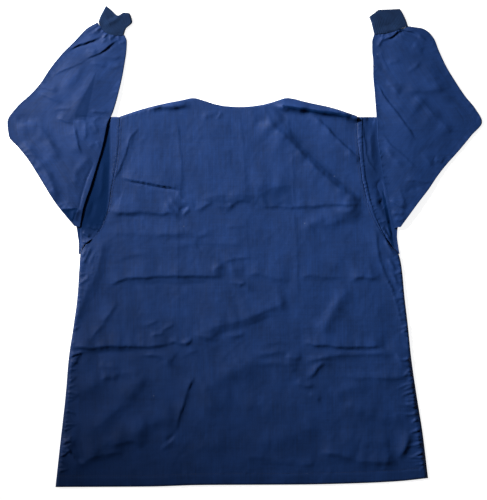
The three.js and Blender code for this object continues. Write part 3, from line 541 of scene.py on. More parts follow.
# Gathers along a seam: ridge height, half width, length, spacing, the side that they run to
# from the line (1 for its left, -1 for its right), the first random number and the line.
Gathers = namedtuple("Gathers", "name height width length spacing side seed line")
BODY_GATHERS = [
    ("side_left_low", 3.2, 2.0, 24, 9.5, -1, 11, [
        (-371, -460), (-361, -380), (-352, -300), (-345, -215),
    ]),
    ("side_left_high", 2.2, 2.0, 16, 8, -1, 12, [
        (-349, -205), (-341, -150), (-333, -90), (-329, -30),
    ]),
    ("side_right_low", 3.8, 2.0, 26, 9, 1, 13, [
        (359, -445), (349, -380), (338, -300), (328, -225),
    ]),
    ("side_right_high", 2.8, 2.0, 17, 7.5, 1, 14, [
        (333, -215), (326, -150), (319, -90), (313, -20),
    ]),
    ("armhole_left", 0.6, 2.0, 13, 6.5, -1, 15, [
        (-247, 244), (-249, 200), (-254, 160), (-262, 120),
    ]),
    ("armhole_left_low", 0.6, 2.0, 10, 9, -1, 16, [(-263, 110), (-270, 74), (-282, 42)]),
    ("armhole_right", 0.5, 2.0, 11, 5.6, 1, 17, [(223, 250), (224, 210), (229, 174), (233, 140)]),
    ("armhole_right_low", 0.9, 2.0, 10, 6.5, 1, 18, [(234, 134), (240, 104), (250, 72), (262, 44)]),
    ("neck_left", 0.7, 1.8, 12, 6, 1, 19, [(-84, 291), (-50, 281), (-12, 277)]),
    ("neck_right", 0.7, 1.8, 15, 5.4, 1, 20, [(10, 279), (46, 284), (80, 294)]),
    ("shoulder_left", 0.6, 2.2, 10, 9, -1, 21, [(-240, 262), (-190, 276), (-140, 287)]),
    ("side_seam_right", 0.9, 2.0, 12, 6, 1, 22, [(281, -62), (296, -94), (308, -130), (316, -170)]),
    ("side_seam_left", 0.8, 2.0, 10, 9, -1, 23, [(-289, 4), (-300, -40), (-316, -96)]),
    ("hem", 0.45, 3.2, 12, 17, 1, 24, [
        (-362, -457), (-180, -456), (0, -453), (180, -451), (350, -440),
    ]),
    ("hem_edge", 0.4, 3, 12, 19, 1, 25, [
        (-362, -478), (-180, -477), (0, -474), (180, -472), (350, -463),
    ]),
]
LEFT_SLEEVE_GATHERS = [
    ("cuff", 0.8, 2.4, 24, 8.2, -1, 31, [
        (-298, 446), (-288, 437), (-274, 428), (-256, 424), (-240, 423),
    ]),
    ("outer", 0.7, 3, 16, 12, 1, 32, [(-318, 434), (-366, 384), (-408, 326)]),
    ("inner", 0.6, 3, 14, 13, -1, 33, [(-237, 400), (-242, 350), (-254, 298), (-270, 250)]),
    ("lower", 0.9, 3, 18, 12, 1, 34, [(-466, 214), (-432, 172), (-396, 116), (-360, 66)]),
]
RIGHT_SLEEVE_GATHERS = [
    ("cuff", 0.7, 2.4, 18, 8.2, 1, 41, [
        (330, 440), (312, 434), (296, 429), (280, 426), (260, 424),
    ]),
    ("inner", 0.8, 3, 15, 11, 1, 42, [(256, 400), (258, 340), (262, 280), (266, 210), (276, 140)]),
    ("lower", 0.9, 3, 18, 12, -1, 43, [(470, 244), (430, 192), (386, 140), (340, 76)]),
    ("outer", 0.6, 3, 14, 14, -1, 44, [(360, 430), (390, 390), (422, 330), (462, 272)]),
]
RIGHT_TUCK_GATHERS = [
    ("armhole", 0.9, 2.0, 9, 6, 1, 51, [
        (228, 250), (229, 210), (233, 170), (240, 120), (254, 80), (276, 34),
    ]),
]
LEFT_TUCK_GATHERS = [
    ("armhole", 0.5, 2.0, 8, 8, -1, 52, [(-252, 250), (-254, 200), (-262, 150), (-270, 100)]),
    ("underarm", 0.9, 2.2, 12, 6, -1, 53, [(-276, 72), (-286, 44), (-300, 22), (-322, 4)]),
]

# Painted shade: patches where the cloth's colour is darkened in place of the shadow of a fold or of
# a flat turned from the light, with strength and clockwise corners
BACK_SHADES = [
    (1.6, [(73, 284), (217, 264), (209, 256), (77, 277)]),
    (0.45, [(17, 83), (27, 104), (55, 120), (95, 126), (95, 83)]),
    (0.35, [(-89, 94), (-59, 104), (1, 106), (23, 102), (11, 86), (-65, 86)]),
    (0.5, [(223, 256), (233, 256), (235, 194), (227, 194)]),
    (0.4, [(227, 194), (235, 194), (247, 114), (239, 114)]),
    (0.25, [(70, 262), (170, 160), (228, 104), (170, 140), (86, 226)]),
]
TUCK_SHADES = [
    (1.2, [(273, 122), (283, 98), (301, -2), (293, 2), (277, 84)]),
]
SLEEVE_SHADES = [
    (0.55, [(-293, 358), (-315, 252), (-339, 252), (-339, 268)]),
    (2.2, [(-367, 76), (-331, 78), (-343, 48)]),
]


# Curves and tables
def smooth_table(rows, key, value, at):
    """Reads a sorted table as a smooth curve that never swings past its rows."""
    xs = np.array([row[key] for row in rows], float)
    ys = np.array([row[value] for row in rows], float)
    return smooth_curve(xs, ys, at)


def smooth_curve(xs, ys, at):
    at = np.clip(at, xs[0], xs[-1])
    gaps = np.diff(xs)
    slopes = np.diff(ys) / gaps
    bends = np.zeros_like(ys)
    bends[0], bends[-1] = slopes[0], slopes[-1]
    for i in range(1, len(ys) - 1):
        before, after = slopes[i - 1], slopes[i]
        if before * after > 0:
            wa = 2 * gaps[i] + gaps[i - 1]
            wb = gaps[i] + 2 * gaps[i - 1]
            bends[i] = (wa + wb) / (wa / before + wb / after)
    i = np.clip(np.searchsorted(xs, at, side="right") - 1, 0, len(gaps) - 1)
    t = (at - xs[i]) / gaps[i]
    start = ys[i] * (1 + 2 * t) * (1 - t) ** 2 + bends[i] * gaps[i] * t * (1 - t) ** 2
    end = ys[i + 1] * t * t * (3 - 2 * t) + bends[i + 1] * gaps[i] * t * t * (t - 1)
    return start + end


def ease(t):
    t = np.clip(t, 0, 1)
    return t * t * (3 - 2 * t)


def smooth_path(points, step=4.0):
    """Points about step apart along a rounded line through the given ones."""
    pts = np.array(points, float)
    ends = np.vstack([2 * pts[0] - pts[1], pts, 2 * pts[-1] - pts[-2]])
    path = [pts[0]]
    for i in range(len(pts) - 1):
        a, b, c, d = ends[i : i + 4]
        count = max(2, int(np.ceil(np.linalg.norm(c - b) / step)))
        for t in np.arange(1, count + 1) / count:
            bend = 2 * a - 5 * b + 4 * c - d
            twist = -a + 3 * b - 3 * c + d
            path.append(0.5 * (2 * b + (c - a) * t + bend * t * t + twist * t**3))
    return np.array(path)


def beside_path(path, x, y):
    """Distance of each point from a path, positive on its left, and how far along it is."""
    starts = path[:-1]
    legs = np.diff(path, axis=0)
    lengths = np.linalg.norm(legs, axis=1)
    before = np.concatenate([[0], np.cumsum(lengths)])[:-1]
    dx = x[:, None] - starts[None, :, 0]
    dy = y[:, None] - starts[None, :, 1]
    t = np.clip((dx * legs[:, 0] + dy * legs[:, 1]) / lengths**2, 0, 1)
    ox = dx - t * legs[:, 0]
    oy = dy - t * legs[:, 1]
    distance = np.hypot(ox, oy)
    best = np.argmin(distance, axis=1)
    rows = np.arange(len(x))
    side = np.sign(legs[best, 0] * dy[rows, best] - legs[best, 1] * dx[rows, best])
    return distance[rows, best] * side, before[best] + t[rows, best] * lengths[best]


# Fixed random fields
def scattered(ix, iy, seed):
    """A fixed random number from 0 to 1 for each pair of whole numbers."""
    n = (ix * 374761393 + iy * 668265263 + seed * 144269) & 0xFFFFFFFF
    n = ((n ^ (n >> 13)) * 1274126177) & 0xFFFFFFFF
    return ((n ^ (n >> 16)) & 0xFFFF) / 65535.0


def bumps(x, y, size, seed):
    """A smooth field of bumps about size across, from about -1 to 1."""
    gx = np.asarray(x, float) / size + 0.37 * seed
    gy = np.asarray(y, float) / size - 0.61 * seed
    ix = np.floor(gx).astype(np.int64)
    iy = np.floor(gy).astype(np.int64)
    fx, fy = gx - ix, gy - iy
    sx = fx**3 * (fx * (6 * fx - 15) + 10)
    sy = fy**3 * (fy * (6 * fy - 15) + 10)

    def corner(cx, cy):
        angle = scattered(ix + cx, iy + cy, seed) * 2 * math.pi
        return np.cos(angle) * (fx - cx) + np.sin(angle) * (fy - cy)

    low = corner(0, 0) * (1 - sx) + corner(1, 0) * sx
    high = corner(0, 1) * (1 - sx) + corner(1, 1) * sx
    return 1.5 * (low * (1 - sy) + high * sy)


# Relief of the cloth, in millimetres
# A crease's line wanders: size of the broad waves, then height and size of the fine ones.
WANDER_SIZE, FINE_WANDER, FINE_WANDER_SIZE = 26, 0.6, 9
# A crease dies away at its ends over this share of its length, and no more than this.
FADE_SHARE, FADE_LONGEST = 0.34, 26.0
# Its height and its width vary along it: by what share, and over what length.
UNEVEN_HEIGHT, UNEVEN_WIDTH = (0.38, 22), (0.28, 31)
# A crease much wider on one side than on the other is a sharper, pressed one.
PRESSED_RATIO, PRESSED_POWER, SOFT_POWER = 2.2, 1.25, 1.7
# Least share and further share of a gather's spacing, length, width and height
GATHER_SPACING, GATHER_LENGTH = (0.55, 0.95), (0.45, 1.0)
GATHER_WIDTH, GATHER_HEIGHT = (0.75, 0.6), (0.35, 1.0)
GATHER_TILT, GATHER_CURL = 0.9, 1.2
# Height, size and random number of the swells, facets and crumples of a laid cloth
SWELLS = ((0.85, 120, 2), (0.5, 62, 3))
FACETS = ((0.42, 34, 4), (0.24, 19, 5))
CRUMPLES = ((0.085, 10, 6), (0.05, 6, 7))
SWELL_DRIFT, SWELL_DRIFT_SIZE, SWELL_LEVEL = 14, 90, 0.2


def near_line(path, reach, x, y):
    lo, hi = path.min(axis=0) - reach, path.max(axis=0) + reach
    return np.nonzero((x > lo[0]) & (x < hi[0]) & (y > lo[1]) & (y < hi[1]))[0]


def crease_relief(table, x, y, wander=1.5):
    """Height of all of a table's creases at each point."""
    height = np.zeros_like(x)

    def drift(seed):
        fine = FINE_WANDER * bumps(x, y, FINE_WANDER_SIZE, seed + 1)
        return wander * bumps(x, y, WANDER_SIZE, seed) + fine

    wx, wy = x + drift(3), y + drift(5)
    for number, row in enumerate(table):
        crease = Crease(*row)
        path = smooth_path(crease.line)
        wide, narrow = max(crease.left, crease.right), min(crease.left, crease.right)
        at = near_line(path, 2.4 * wide + 6, wx, wy)
        if not len(at):
            continue
        side, along = beside_path(path, wx[at], wy[at])
        total = np.linalg.norm(np.diff(path, axis=0), axis=1).sum()
        fade_length = min(FADE_SHARE * total, FADE_LONGEST)
        fade = ease(along / fade_length) * ease((total - along) / fade_length)
        share, size = UNEVEN_HEIGHT
        uneven = 1 + share * bumps(along, along * 0 + 7.3 * number, size, 8)
        share, size = UNEVEN_WIDTH
        spread = 1 + share * bumps(along, along * 0 + 3.1 * number, size, 9)
        width = np.where(side > 0, crease.left, crease.right) * spread
        power = PRESSED_POWER if wide > PRESSED_RATIO * narrow else SOFT_POWER
        height[at] += crease.height * fade * uneven * np.exp(-((np.abs(side) / width) ** power))
    return height


def drawn(size, share, chance):
    """A size made uneven: its least share, and a further share by chance."""
    return size * (share[0] + share[1] * chance)


def gather_relief(table, x, y):
    """Height of the short ridges that run off the seams in a table."""
    height = np.zeros_like(x)
    for row in table:
        row = Gathers(*row)
        path = smooth_path(row.line, 2.0)
        legs = np.diff(path, axis=0)
        lengths = np.linalg.norm(legs, axis=1)
        along = np.concatenate([[0], np.cumsum(lengths)])
        place, number = 0.0, 0
        while place < along[-1]:
            chance = [scattered(np.int64(number), np.int64(k), row.seed) for k in range(6)]
            place += drawn(row.spacing, GATHER_SPACING, chance[0])
            number += 1
            leg = min(int(np.searchsorted(along, place)) - 1, len(legs) - 1)
            if leg < 0:
                continue
            tangent = legs[leg] / lengths[leg]
            start = path[leg] + tangent * (place - along[leg])
            across = np.array([-tangent[1], tangent[0]]) * row.side
            tilt = GATHER_TILT * (chance[1] - 0.5)
            run = across * math.cos(tilt) + tangent * math.sin(tilt)
            length = drawn(row.length, GATHER_LENGTH, chance[2])
            width = drawn(row.width, GATHER_WIDTH, chance[3])
            ridge = drawn(row.height, GATHER_HEIGHT, chance[4])
            at = near_line(np.array([start, start + run * length]), 3 * width, x, y)
            if not len(at):
                continue
            dx, dy = x[at] - start[0], y[at] - start[1]
            t = (dx * run[0] + dy * run[1]) / length
            curl = GATHER_CURL * (chance[5] - 0.5) * length * t * t
            off = (dy * run[0] - dx * run[1]) + curl
            swell = ease(t * 6 + 0.6) * np.clip(1 - t, 0, 1) ** 1.2
            height[at] += ridge * swell * np.exp(-((off / width) ** 2))
    return height


def cloth_swell(x, y, seed):
    """The uneven lie of a laid cloth: broad swells, soft facets and small crumples."""
    tx = x + SWELL_DRIFT * bumps(x, y, SWELL_DRIFT_SIZE, seed)
    ty = y + SWELL_DRIFT * bumps(x, y, SWELL_DRIFT_SIZE, seed + 1)

    def waves(a, b, rows):
        return sum(high * bumps(a, b, size, seed + number) for high, size, number in rows)

    total = SWELL_LEVEL + waves(tx, ty, SWELLS) + waves(x, y, CRUMPLES)
    for (high, size, number), (a, b) in zip(FACETS, ((tx, ty), (ty, tx))):
        total = total - high * np.abs(bumps(a, b, size, seed + number))
    return total


def whole_relief(creases, gathers, x, y, swell, seed):
    """Creases, gathers and swells of a grid of points."""
    flat_x, flat_y = x.ravel(), y.ravel()
    height = crease_relief(creases, flat_x, flat_y) + gather_relief(gathers, flat_x, flat_y)
    return (height + swell * cloth_swell(flat_x, flat_y, seed)).reshape(x.shape)


def within(corners, x, y):
    """How far points lie inside a shape with clockwise corners, as 0 to 1 over 2 mm."""
    depth = np.full(x.shape, 99.0)
    for (ax, ay), (bx, by) in zip(corners, corners[1:] + corners[:1]):
        side = (x - ax) * (by - ay) - (y - ay) * (bx - ax)
        depth = np.minimum(depth, side / math.hypot(bx - ax, by - ay))
    return ease(depth / 2.0)


def shaded(wear_and_painted_shade, shades, x, y):
    """Painted shade of points: darker inside each listed patch, in place of the shadow of a flat
    turned from the light.
    """
    for shade, corners in shades:
        wear_and_painted_shade = np.minimum(wear_and_painted_shade, -shade * within(corners, x, y))
    return wear_and_painted_shade


def rounded_edge(inward, radius):
    """From 0 at an edge to 1 at radius inside it, on a quarter ellipse."""
    return np.sqrt(1 - (1 - np.clip(inward / radius, 0, 1)) ** 2)


# Meshes
def to_frame(points):
    out = np.array(points, float)
    out[:, 0] -= PAGE_MIDDLE[0]
    out[:, 1] -= PAGE_MIDDLE[1]
    return out * MM


def put_in_scene(name, data):
    item = bpy.data.objects.new(name, data)
    bpy.context.scene.collection.objects.link(item)
    return item


def add_values(mesh, name, values):
    """Gives each point of a mesh a number under a name."""
    attribute = mesh.attributes.new(name, "FLOAT", "POINT")
    attribute.data.foreach_set("value", np.asarray(values, np.float32))


def cloth_object(name, points, faces, weave, wear_and_painted_shade=None):
    """A smooth mesh piece. weave is where each point lies on the flat cloth, in millimetres."""
    mesh = bpy.data.meshes.new(name)
    mesh.from_pydata(to_frame(points).tolist(), [], faces)
    mesh.validate()
    layer = mesh.uv_layers.new(name="weave")
    corners = np.zeros(len(mesh.loops), np.int64)
    mesh.loops.foreach_get("vertex_index", corners)
    layer.data.foreach_set("uv", (np.asarray(weave, float) * MM)[corners].ravel())
    if wear_and_painted_shade is not None:
        add_values(mesh, "wear_and_painted_shade", wear_and_painted_shade)
    mesh.shade_smooth()
    return put_in_scene(name, mesh)


def grid_faces(start, rows, columns, upward=True):
    """Quads of a grid of points that are numbered row by row."""
    r, c = np.meshgrid(np.arange(rows - 1), np.arange(columns - 1), indexing="ij")
    a = (start + r * columns + c).ravel()
    quads = np.stack([a, a + 1, a + 1 + columns, a + columns], axis=1)
    return (quads if upward else quads[:, ::-1]).tolist()


def bridge(first, second, first_at, second_at):
    """Triangles between two rows of points. The row numbers and shares both rise."""
    faces = []
    i = j = 0
    while i < len(first) - 1 or j < len(second) - 1:
        i_next = first_at[i + 1] if i < len(first) - 1 else math.inf
        j_next = second_at[j + 1] if j < len(second) - 1 else math.inf
        if i_next <= j_next:
            faces.append([first[i], second[j], first[i + 1]])
            i += 1
        else:
            faces.append([first[i], second[j], second[j + 1]])
            j += 1
    return faces


def lowest_near(height, rows, columns):
    """The lowest height within so many rows and columns of each point of a grid."""
    low = height.copy()
    for axis, reach in ((0, rows), (1, columns)):
        source = low.copy()
        for shift in range(1, reach + 1):
            for way in (shift, -shift):
                moved = np.roll(source, way, axis=axis)
                edge = [slice(None)] * 2
                edge[axis] = slice(0, way) if way > 0 else slice(way, None)
                moved[tuple(edge)] = source[tuple(edge)]
                low = np.minimum(low, moved)
    return low


def spread_out(columns, count):
    """Numbers of count columns, evenly spread over all of them."""
    return np.unique(np.round(np.linspace(0, columns - 1, count)).astype(int))


def panel_shell(name, x, y, top, under, coarse, wear_and_painted_shade):
    """A closed wall: a fine upper grid and an underside with fewer columns."""
    rows, columns = x.shape
    pick = spread_out(columns, coarse)
    upper = np.stack([x, y, top], axis=2).reshape(-1, 3)
    lower = np.stack([x[:, pick], y[:, pick], under[:, pick]], axis=2).reshape(-1, 3)
    start = len(upper)
    faces = grid_faces(0, rows, columns)
    faces += grid_faces(start, rows, len(pick), upward=False)
    left = np.arange(rows) * columns
    left_low = start + np.arange(rows) * len(pick)
    right, right_low = left + columns - 1, left_low + len(pick) - 1
    walls = (left, left, left_low, left_low), (right, right_low, right_low, right)
    for r in range(rows - 1):
        for wall, steps in zip(walls, ((0, 1, 1, 0), (0, 0, 1, 1))):
            faces.append([int(line[r + step]) for line, step in zip(wall, steps)])
    shares = np.arange(columns) / (columns - 1)
    for r in (0, rows - 1):
        first = [int(k) for k in left[r] + np.arange(columns)]
        second = [int(k) for k in left_low[r] + np.arange(len(pick))]
        strip = bridge(first, second, shares, shares[pick])
        faces += strip if r == 0 else [face[::-1] for face in strip]
    weave = np.vstack([upper, lower])[:, :2]
    wear_and_painted_shade = np.concatenate([wear_and_painted_shade.ravel(), wear_and_painted_shade[:, pick].ravel()])
    return cloth_object(name, np.vstack([upper, lower]), faces, weave, wear_and_painted_shade)


def column_points(x, y, at, z):
    """Points of some columns of a grid, at a height."""
    return np.stack([x[:, at], y[:, at], z + 0 * x[:, at]], axis=2)


def woven_ring(across, run, *stretches):
    """Where a tube's rings lie on the flat cloth. Each stretch is its columns and its way."""
    parts = [
        np.stack([way * across[:, at], run + 0 * across[:, at]], axis=2) for at, way in stretches
    ]
    return np.concatenate(parts, axis=1)


def tube_shell(name, outer, inner, weave, wear_and_painted_shade=None):
    """A flattened tube's wall with open ends. outer and inner are (rows, ring points, 3)."""
    rows, outer_count = outer.shape[:2]
    inner_count = inner.shape[1]
    start = rows * outer_count
    faces = []

    def around(first, count, flip):
        r, c = np.meshgrid(np.arange(rows - 1), np.arange(count), indexing="ij")
        a = first + r * count + c
        b = first + r * count + (c + 1) % count
        quads = np.stack([a, b, b + count, a + count], axis=2).reshape(-1, 4)
        return (quads[:, ::-1] if flip else quads).tolist()

    faces += around(0, outer_count, False)
    faces += around(start, inner_count, True)
    for r in (0, rows - 1):
        first = [r * outer_count + k % outer_count for k in range(outer_count + 1)]
        second = [start + r * inner_count + k % inner_count for k in range(inner_count + 1)]
        first_at = np.arange(outer_count + 1) / outer_count
        second_at = np.arange(inner_count + 1) / inner_count
        strip = bridge(first, second, first_at, second_at)
        faces += [face[::-1] for face in strip] if r == 0 else strip
    points = np.vstack([outer.reshape(-1, 3), inner.reshape(-1, 3)])
    flat = np.vstack([part.reshape(-1, 2) for part in weave])
    if signed_volume(points, faces) < 0:
        faces = [face[::-1] for face in faces]
    return cloth_object(name, points, faces, flat, wear_and_painted_shade)


def signed_volume(points, faces):
    total = 0.0
    for size in (3, 4):
        group = np.array([face for face in faces if len(face) == size], int)
        if not len(group):
            continue
        corners = points[group]
        for k in range(1, size - 1):
            normals = np.cross(corners[:, k], corners[:, k + 1])
            total += float((corners[:, 0] * normals).sum())
    return total


# Body panels
EDGE_STEPS = (0, 0.5, 1.4, 2.8, 4.6, 6.8)  # distances of the first lines from an edge
BODY_WIDTH = 680
SIDE_RADIUS, ARM_RADIUS = 7.0, 1.6  # roundness of the back's edge, below and beside the arms
ARM_EDGE_SHARE = 0.96  # how full the back's edge stands beside the arms
HEM_RADIUS, TOP_RADIUS = 4.5, 6.0
HEM_STEP, HEM_GROOVE = 0.55, -0.35
BACK_SEED, FRONT_SEED = 61, 71


def edge_spaced(span, count):
    """Shares from 0 to 1 of a span in millimetres that lie close together at both ends."""
    first = np.array(EDGE_STEPS) / span
    middle = np.linspace(first[-1], 1 - first[-1], count - 2 * len(EDGE_STEPS) + 2)[1:-1]
    return np.concatenate([first, middle, 1 - first[::-1]])


def side_x(side, y):
    """x of the body's left edge, where side is -1, or of its right one, where it is 1."""
    return smooth_table(BODY_EDGES, 0, 1 if side < 0 else 2, y)


def hem_y(x):
    return smooth_table(HEM_EDGE, 0, 1, x)


def top_y(x):
    return smooth_table(TOP_EDGE, 0, 1, x)


def neck_share(x):
    """From 0 at the ends of the neck to 1 in its middle."""
    middle, half = (NECK_LEFT_X + NECK_RIGHT_X) / 2, (NECK_RIGHT_X - NECK_LEFT_X) / 2
    return np.clip(1 - np.abs(x - middle) / half, 0, 1)


def body_grid(rows, columns, inset=0.0):
    """x, y of a grid over the laid body, with its side and end distances."""
    u = edge_spaced(BODY_WIDTH, columns)[None, :]
    v = edge_spaced(SHOULDER_Y - HEM_Y, rows)[:, None]
    level = HEM_Y + (SHOULDER_Y - HEM_Y) * v
    left = side_x(-1, level) + inset
    right = side_x(1, level) - inset
    x = left + (right - left) * u
    hem = hem_y(x)
    top = top_y(x)
    y = level + (hem - HEM_Y + inset) * np.clip(1 - 2 * v, 0, 1) ** 2
    y = y + (top - SHOULDER_Y - inset) * v**6
    return x, y, level + 0 * x, v + 0 * x


def back_relief(x, y, level):
    """Height of the back's upper face over the page."""
    left = side_x(-1, y)
    right = side_x(1, y)
    above_hem = y - hem_y(x)
    below_top = top_y(x) - y
    beside = np.minimum(x - left, right - x)
    arm = ease((level + 12) / 34)
    side_low = ARM_EDGE_SHARE * arm
    side_radius = SIDE_RADIUS + (ARM_RADIUS - SIDE_RADIUS) * arm
    side = side_low + (1 - side_low) * rounded_edge(beside, side_radius)
    ends = rounded_edge(above_hem, HEM_RADIUS) * rounded_edge(below_top, TOP_RADIUS)
    loft = BACK_LOFT + whole_relief(BODY_CREASES, BODY_GATHERS, x, y, 1.0, BACK_SEED)
    hem_band = HEM_STEP * ease((HEM_TURN - above_hem) / 1.6) * ease(above_hem / 3)
    hem_line = HEM_GROOVE * np.exp(-(((above_hem - HEM_TURN + 1.5) / 1.6) ** 2))
    height = BACK_UNDER + 0.4 + side * ends * (CLOTH - 0.4 + loft + hem_band + hem_line)
    # Painted shade: a thin dark line along the back's edges, and the patches of painted shade.
    wear_and_painted_shade = -0.5 * np.exp(-np.minimum(beside, np.minimum(above_hem, below_top)) / 1.6)
    return np.maximum(height, BACK_UNDER + 0.35), shaded(wear_and_painted_shade, BACK_SHADES, x, y)


def build_back():
    rows, columns, coarse = BACK_MESH
    x, y, level, _ = body_grid(rows, columns)
    top, wear_and_painted_shade = back_relief(x, y, level)
    under = np.maximum(lowest_near(top, 3, 12) - 0.9, BACK_UNDER)
    return panel_shell("back_cloth", x, y, top, under, coarse, wear_and_painted_shade)


def build_front():
    """The hidden front: its upper face is plain, and its creases show from below."""
    rows, columns, coarse = FRONT_MESH
    x, y, level, v = body_grid(rows, columns, FRONT_INSET)
    neckline = NECK_V_DEPTH * neck_share(x) * v**3
    y = y - neckline
    flat_x, flat_y = x.ravel(), y.ravel()
    marks = -crease_relief(FRONT_CREASES, flat_x, flat_y).reshape(x.shape)
    above_hem = y - hem_y(x)
    below_top = top_y(x) - neckline - y
    beside = np.minimum(x - side_x(-1, level), side_x(1, level) - x)
    inward = np.minimum(np.minimum(beside, above_hem), below_top) - FRONT_INSET
    hem_step = 0.25 * ease((above_hem - HEM_TURN) / 1.5)
    neck_step = 0.25 * ease((below_top - 14) / 1.5)
    lift = np.minimum(hem_step, neck_step) + np.clip(marks, 0, 0.65)
    from_sewing = np.minimum(np.abs(above_hem - HEM_SEWN), np.abs(below_top - NECK_SEWN))
    lift = np.maximum(lift, SEWN_DEPTH * np.exp(-((from_sewing / 2.0) ** 4)))
    lift = lift + 0.06 * (1 + bumps(x, y, 30, FRONT_SEED)) * ease(inward / 10)
    round_off = 0.5 * (1 - rounded_edge(inward, 2.0))
    under = np.clip(lift + round_off, 0, 1.0)
    top = CLOTH - 0.6 * round_off
    wear_and_painted_shade = np.exp(-np.clip(inward, 0, 99) / 2.0)
    # The fine grid is the lower face, so the wall is made upside down.
    x, y, under, top, wear_and_painted_shade = (grid[:, ::-1] for grid in (x, y, under, top, wear_and_painted_shade))
    return panel_shell("front_cloth", x, y, under, top, coarse, wear_and_painted_shade)


# Sleeves
HOLD_LENGTH = 110  # how far from its folded layers a sleeve comes down to the page
STAND_WIDTH, CREST_WIDTH = 58, 50  # how wide a sleeve stands up beside its armhole
FOLD_RADIUS = 0.6
PUFF_SHARE, PUFF_WIDTH = 0.7, 60
SLEEVE_SWELL, TUCK_SWELL = 0.7, 0.5
EDGE_SHADE, EDGE_SHADE_WIDTH = 0.9, 2.0  # painted shade along the folded edges: how dark it is, and how wide
SEAM_HEIGHT = {-1: 5.1, 1: 4.5}  # top of a tuck at its armhole seam, by side
FOLDED_IN_SHADE = {-1: 1.0, 1: 0.25}  # how dark the painted shade on the tucked-in cloth beyond the strip is, by side
STRIP_FALL = 3.4  # width over which the strip beside the seam falls to the fold
OPEN_LIMIT = 8.0  # most height of a tuck where no sleeve lies on it


def sleeve_rows(table, count):
    """The ends, bow and puff of count lines across a sleeve, smooth between the table's rows."""
    index = np.arange(len(table), dtype=float)
    at = np.linspace(0, len(table) - 1, count)
    columns = np.array([[*row[0], *row[1]] for row in table], float).T
    ends = [smooth_curve(index, column, at) for column in columns]
    bow = np.interp(at, index, [row[2] for row in table])
    puff = np.interp(at, index, [row[3] for row in table])
    return ends, bow, puff


def held_height(tuck, outward, x, y):
    """How high the folded layers hold a sleeve. outward is -1 on the left, 1 on the right."""
    fold = smooth_table(tuck, 0, 1, y)
    beyond = np.maximum((x - fold) * outward, y - tuck[-1][0]) - 4
    return (TUCK_TOP + SEAM_GAP) * (1 - ease(beyond / HOLD_LENGTH))


def build_sleeve(name, table, creases, gathers, tuck, outward, seed, stand):
    """A flattened sleeve: a thin wall all round, folded at both edges and open at both ends."""
    rows, columns, coarse = SLEEVE_MESH
    (ox, oy, ix, iy), bow, puff = sleeve_rows(table, rows)
    t = np.linspace(0, 1, columns)
    w = 0.45 * t + 0.55 * (0.5 - 0.5 * np.cos(np.pi * t))
    along_x, along_y = (ix - ox)[:, None], (iy - oy)[:, None]
    width = np.hypot(along_x, along_y)
    shift = bow[:, None] * 4 * w * (1 - w) * np.sign(along_x) / width
    x = ox[:, None] + along_x * w - along_y * shift
    y = oy[:, None] + along_y * w + along_x * shift
    from_outer, from_inner = w * width, (1 - w) * width
    beside_arm = ease((y - 36) / 40) * ease((268 - y) / 30)
    under = held_height(tuck, outward, x, y)
    under = under + 0.8 * stand * beside_arm * np.exp(-((from_inner / STAND_WIDTH) ** 2))
    radius = np.minimum(FOLD_RADIUS, 0.3 * width)
    profile = rounded_edge(from_outer, radius) * rounded_edge(from_inner, radius)
    relief = whole_relief(creases, gathers, x, y, SLEEVE_SWELL, seed)
    loft = PUFF_SHARE * puff[:, None] * ease(np.minimum(from_outer, from_inner) / PUFF_WIDTH)
    standing = 0.2 * stand * beside_arm * np.exp(-((from_inner / CREST_WIDTH) ** 2))
    half = BEND / 2
    room = half + loft + standing + np.maximum(relief, -0.8 * loft - 0.9)
    top = under + half + profile * room
    pick = spread_out(columns, coarse)
    inside = pick[1:-1]
    inner_top = np.maximum(lowest_near(top, 3, 9)[:, inside] - 1.0, under[:, inside] + half)
    wall = np.minimum(CLOTH, 0.2 * width)[:, 0]
    edge_shift = wall / width[:, 0]

    def edge(column, share):
        """A point on an inner fold, drawn in from the outer one."""
        ex = x[:, column] + share * along_x[:, 0]
        ey = y[:, column] + share * along_y[:, 0]
        return np.stack([ex, ey, under[:, column] + half], axis=1)[:, None, :]

    back = inside[::-1]
    every = np.arange(columns)
    outer = column_points(x, y, every, top), column_points(x, y, back, under[:, back])
    inner = (
        edge(0, edge_shift), column_points(x, y, inside, inner_top),
        edge(columns - 1, -edge_shift), column_points(x, y, back, under[:, back] + 0.9),
    )
    outer, inner = np.concatenate(outer, axis=1), np.concatenate(inner, axis=1)
    middle_x, middle_y = (ox + ix) / 2, (oy + iy) / 2
    steps = np.hypot(np.diff(middle_x), np.diff(middle_y))
    run = np.concatenate([[0], np.cumsum(steps)])[:, None]
    weave = [woven_ring(from_outer, run, (first, 1), (back, -1)) for first in (every, pick)]
    return tube_shell(name, outer, inner, weave, edge_painted_shade(outer, inner, from_outer, from_inner))


def edge_painted_shade(outer, inner, from_outer, from_inner):
    """Painted shade of a tube's points: its folded edges and the listed patches are darker, its
    inside is plain.
    """
    wear_and_painted_shade = np.zeros(outer.shape[:2])
    columns = from_outer.shape[1]
    from_edge = np.minimum(from_outer, from_inner)
    wear_and_painted_shade[:, :columns] = -EDGE_SHADE * np.exp(-from_edge / EDGE_SHADE_WIDTH)
    x, y = outer[:, :columns, 0], outer[:, :columns, 1]
    wear_and_painted_shade[:, :columns] = shaded(wear_and_painted_shade[:, :columns], SLEEVE_SHADES, x, y)
    return np.concatenate([wear_and_painted_shade.ravel(), np.zeros(inner.shape[0] * inner.shape[1])])


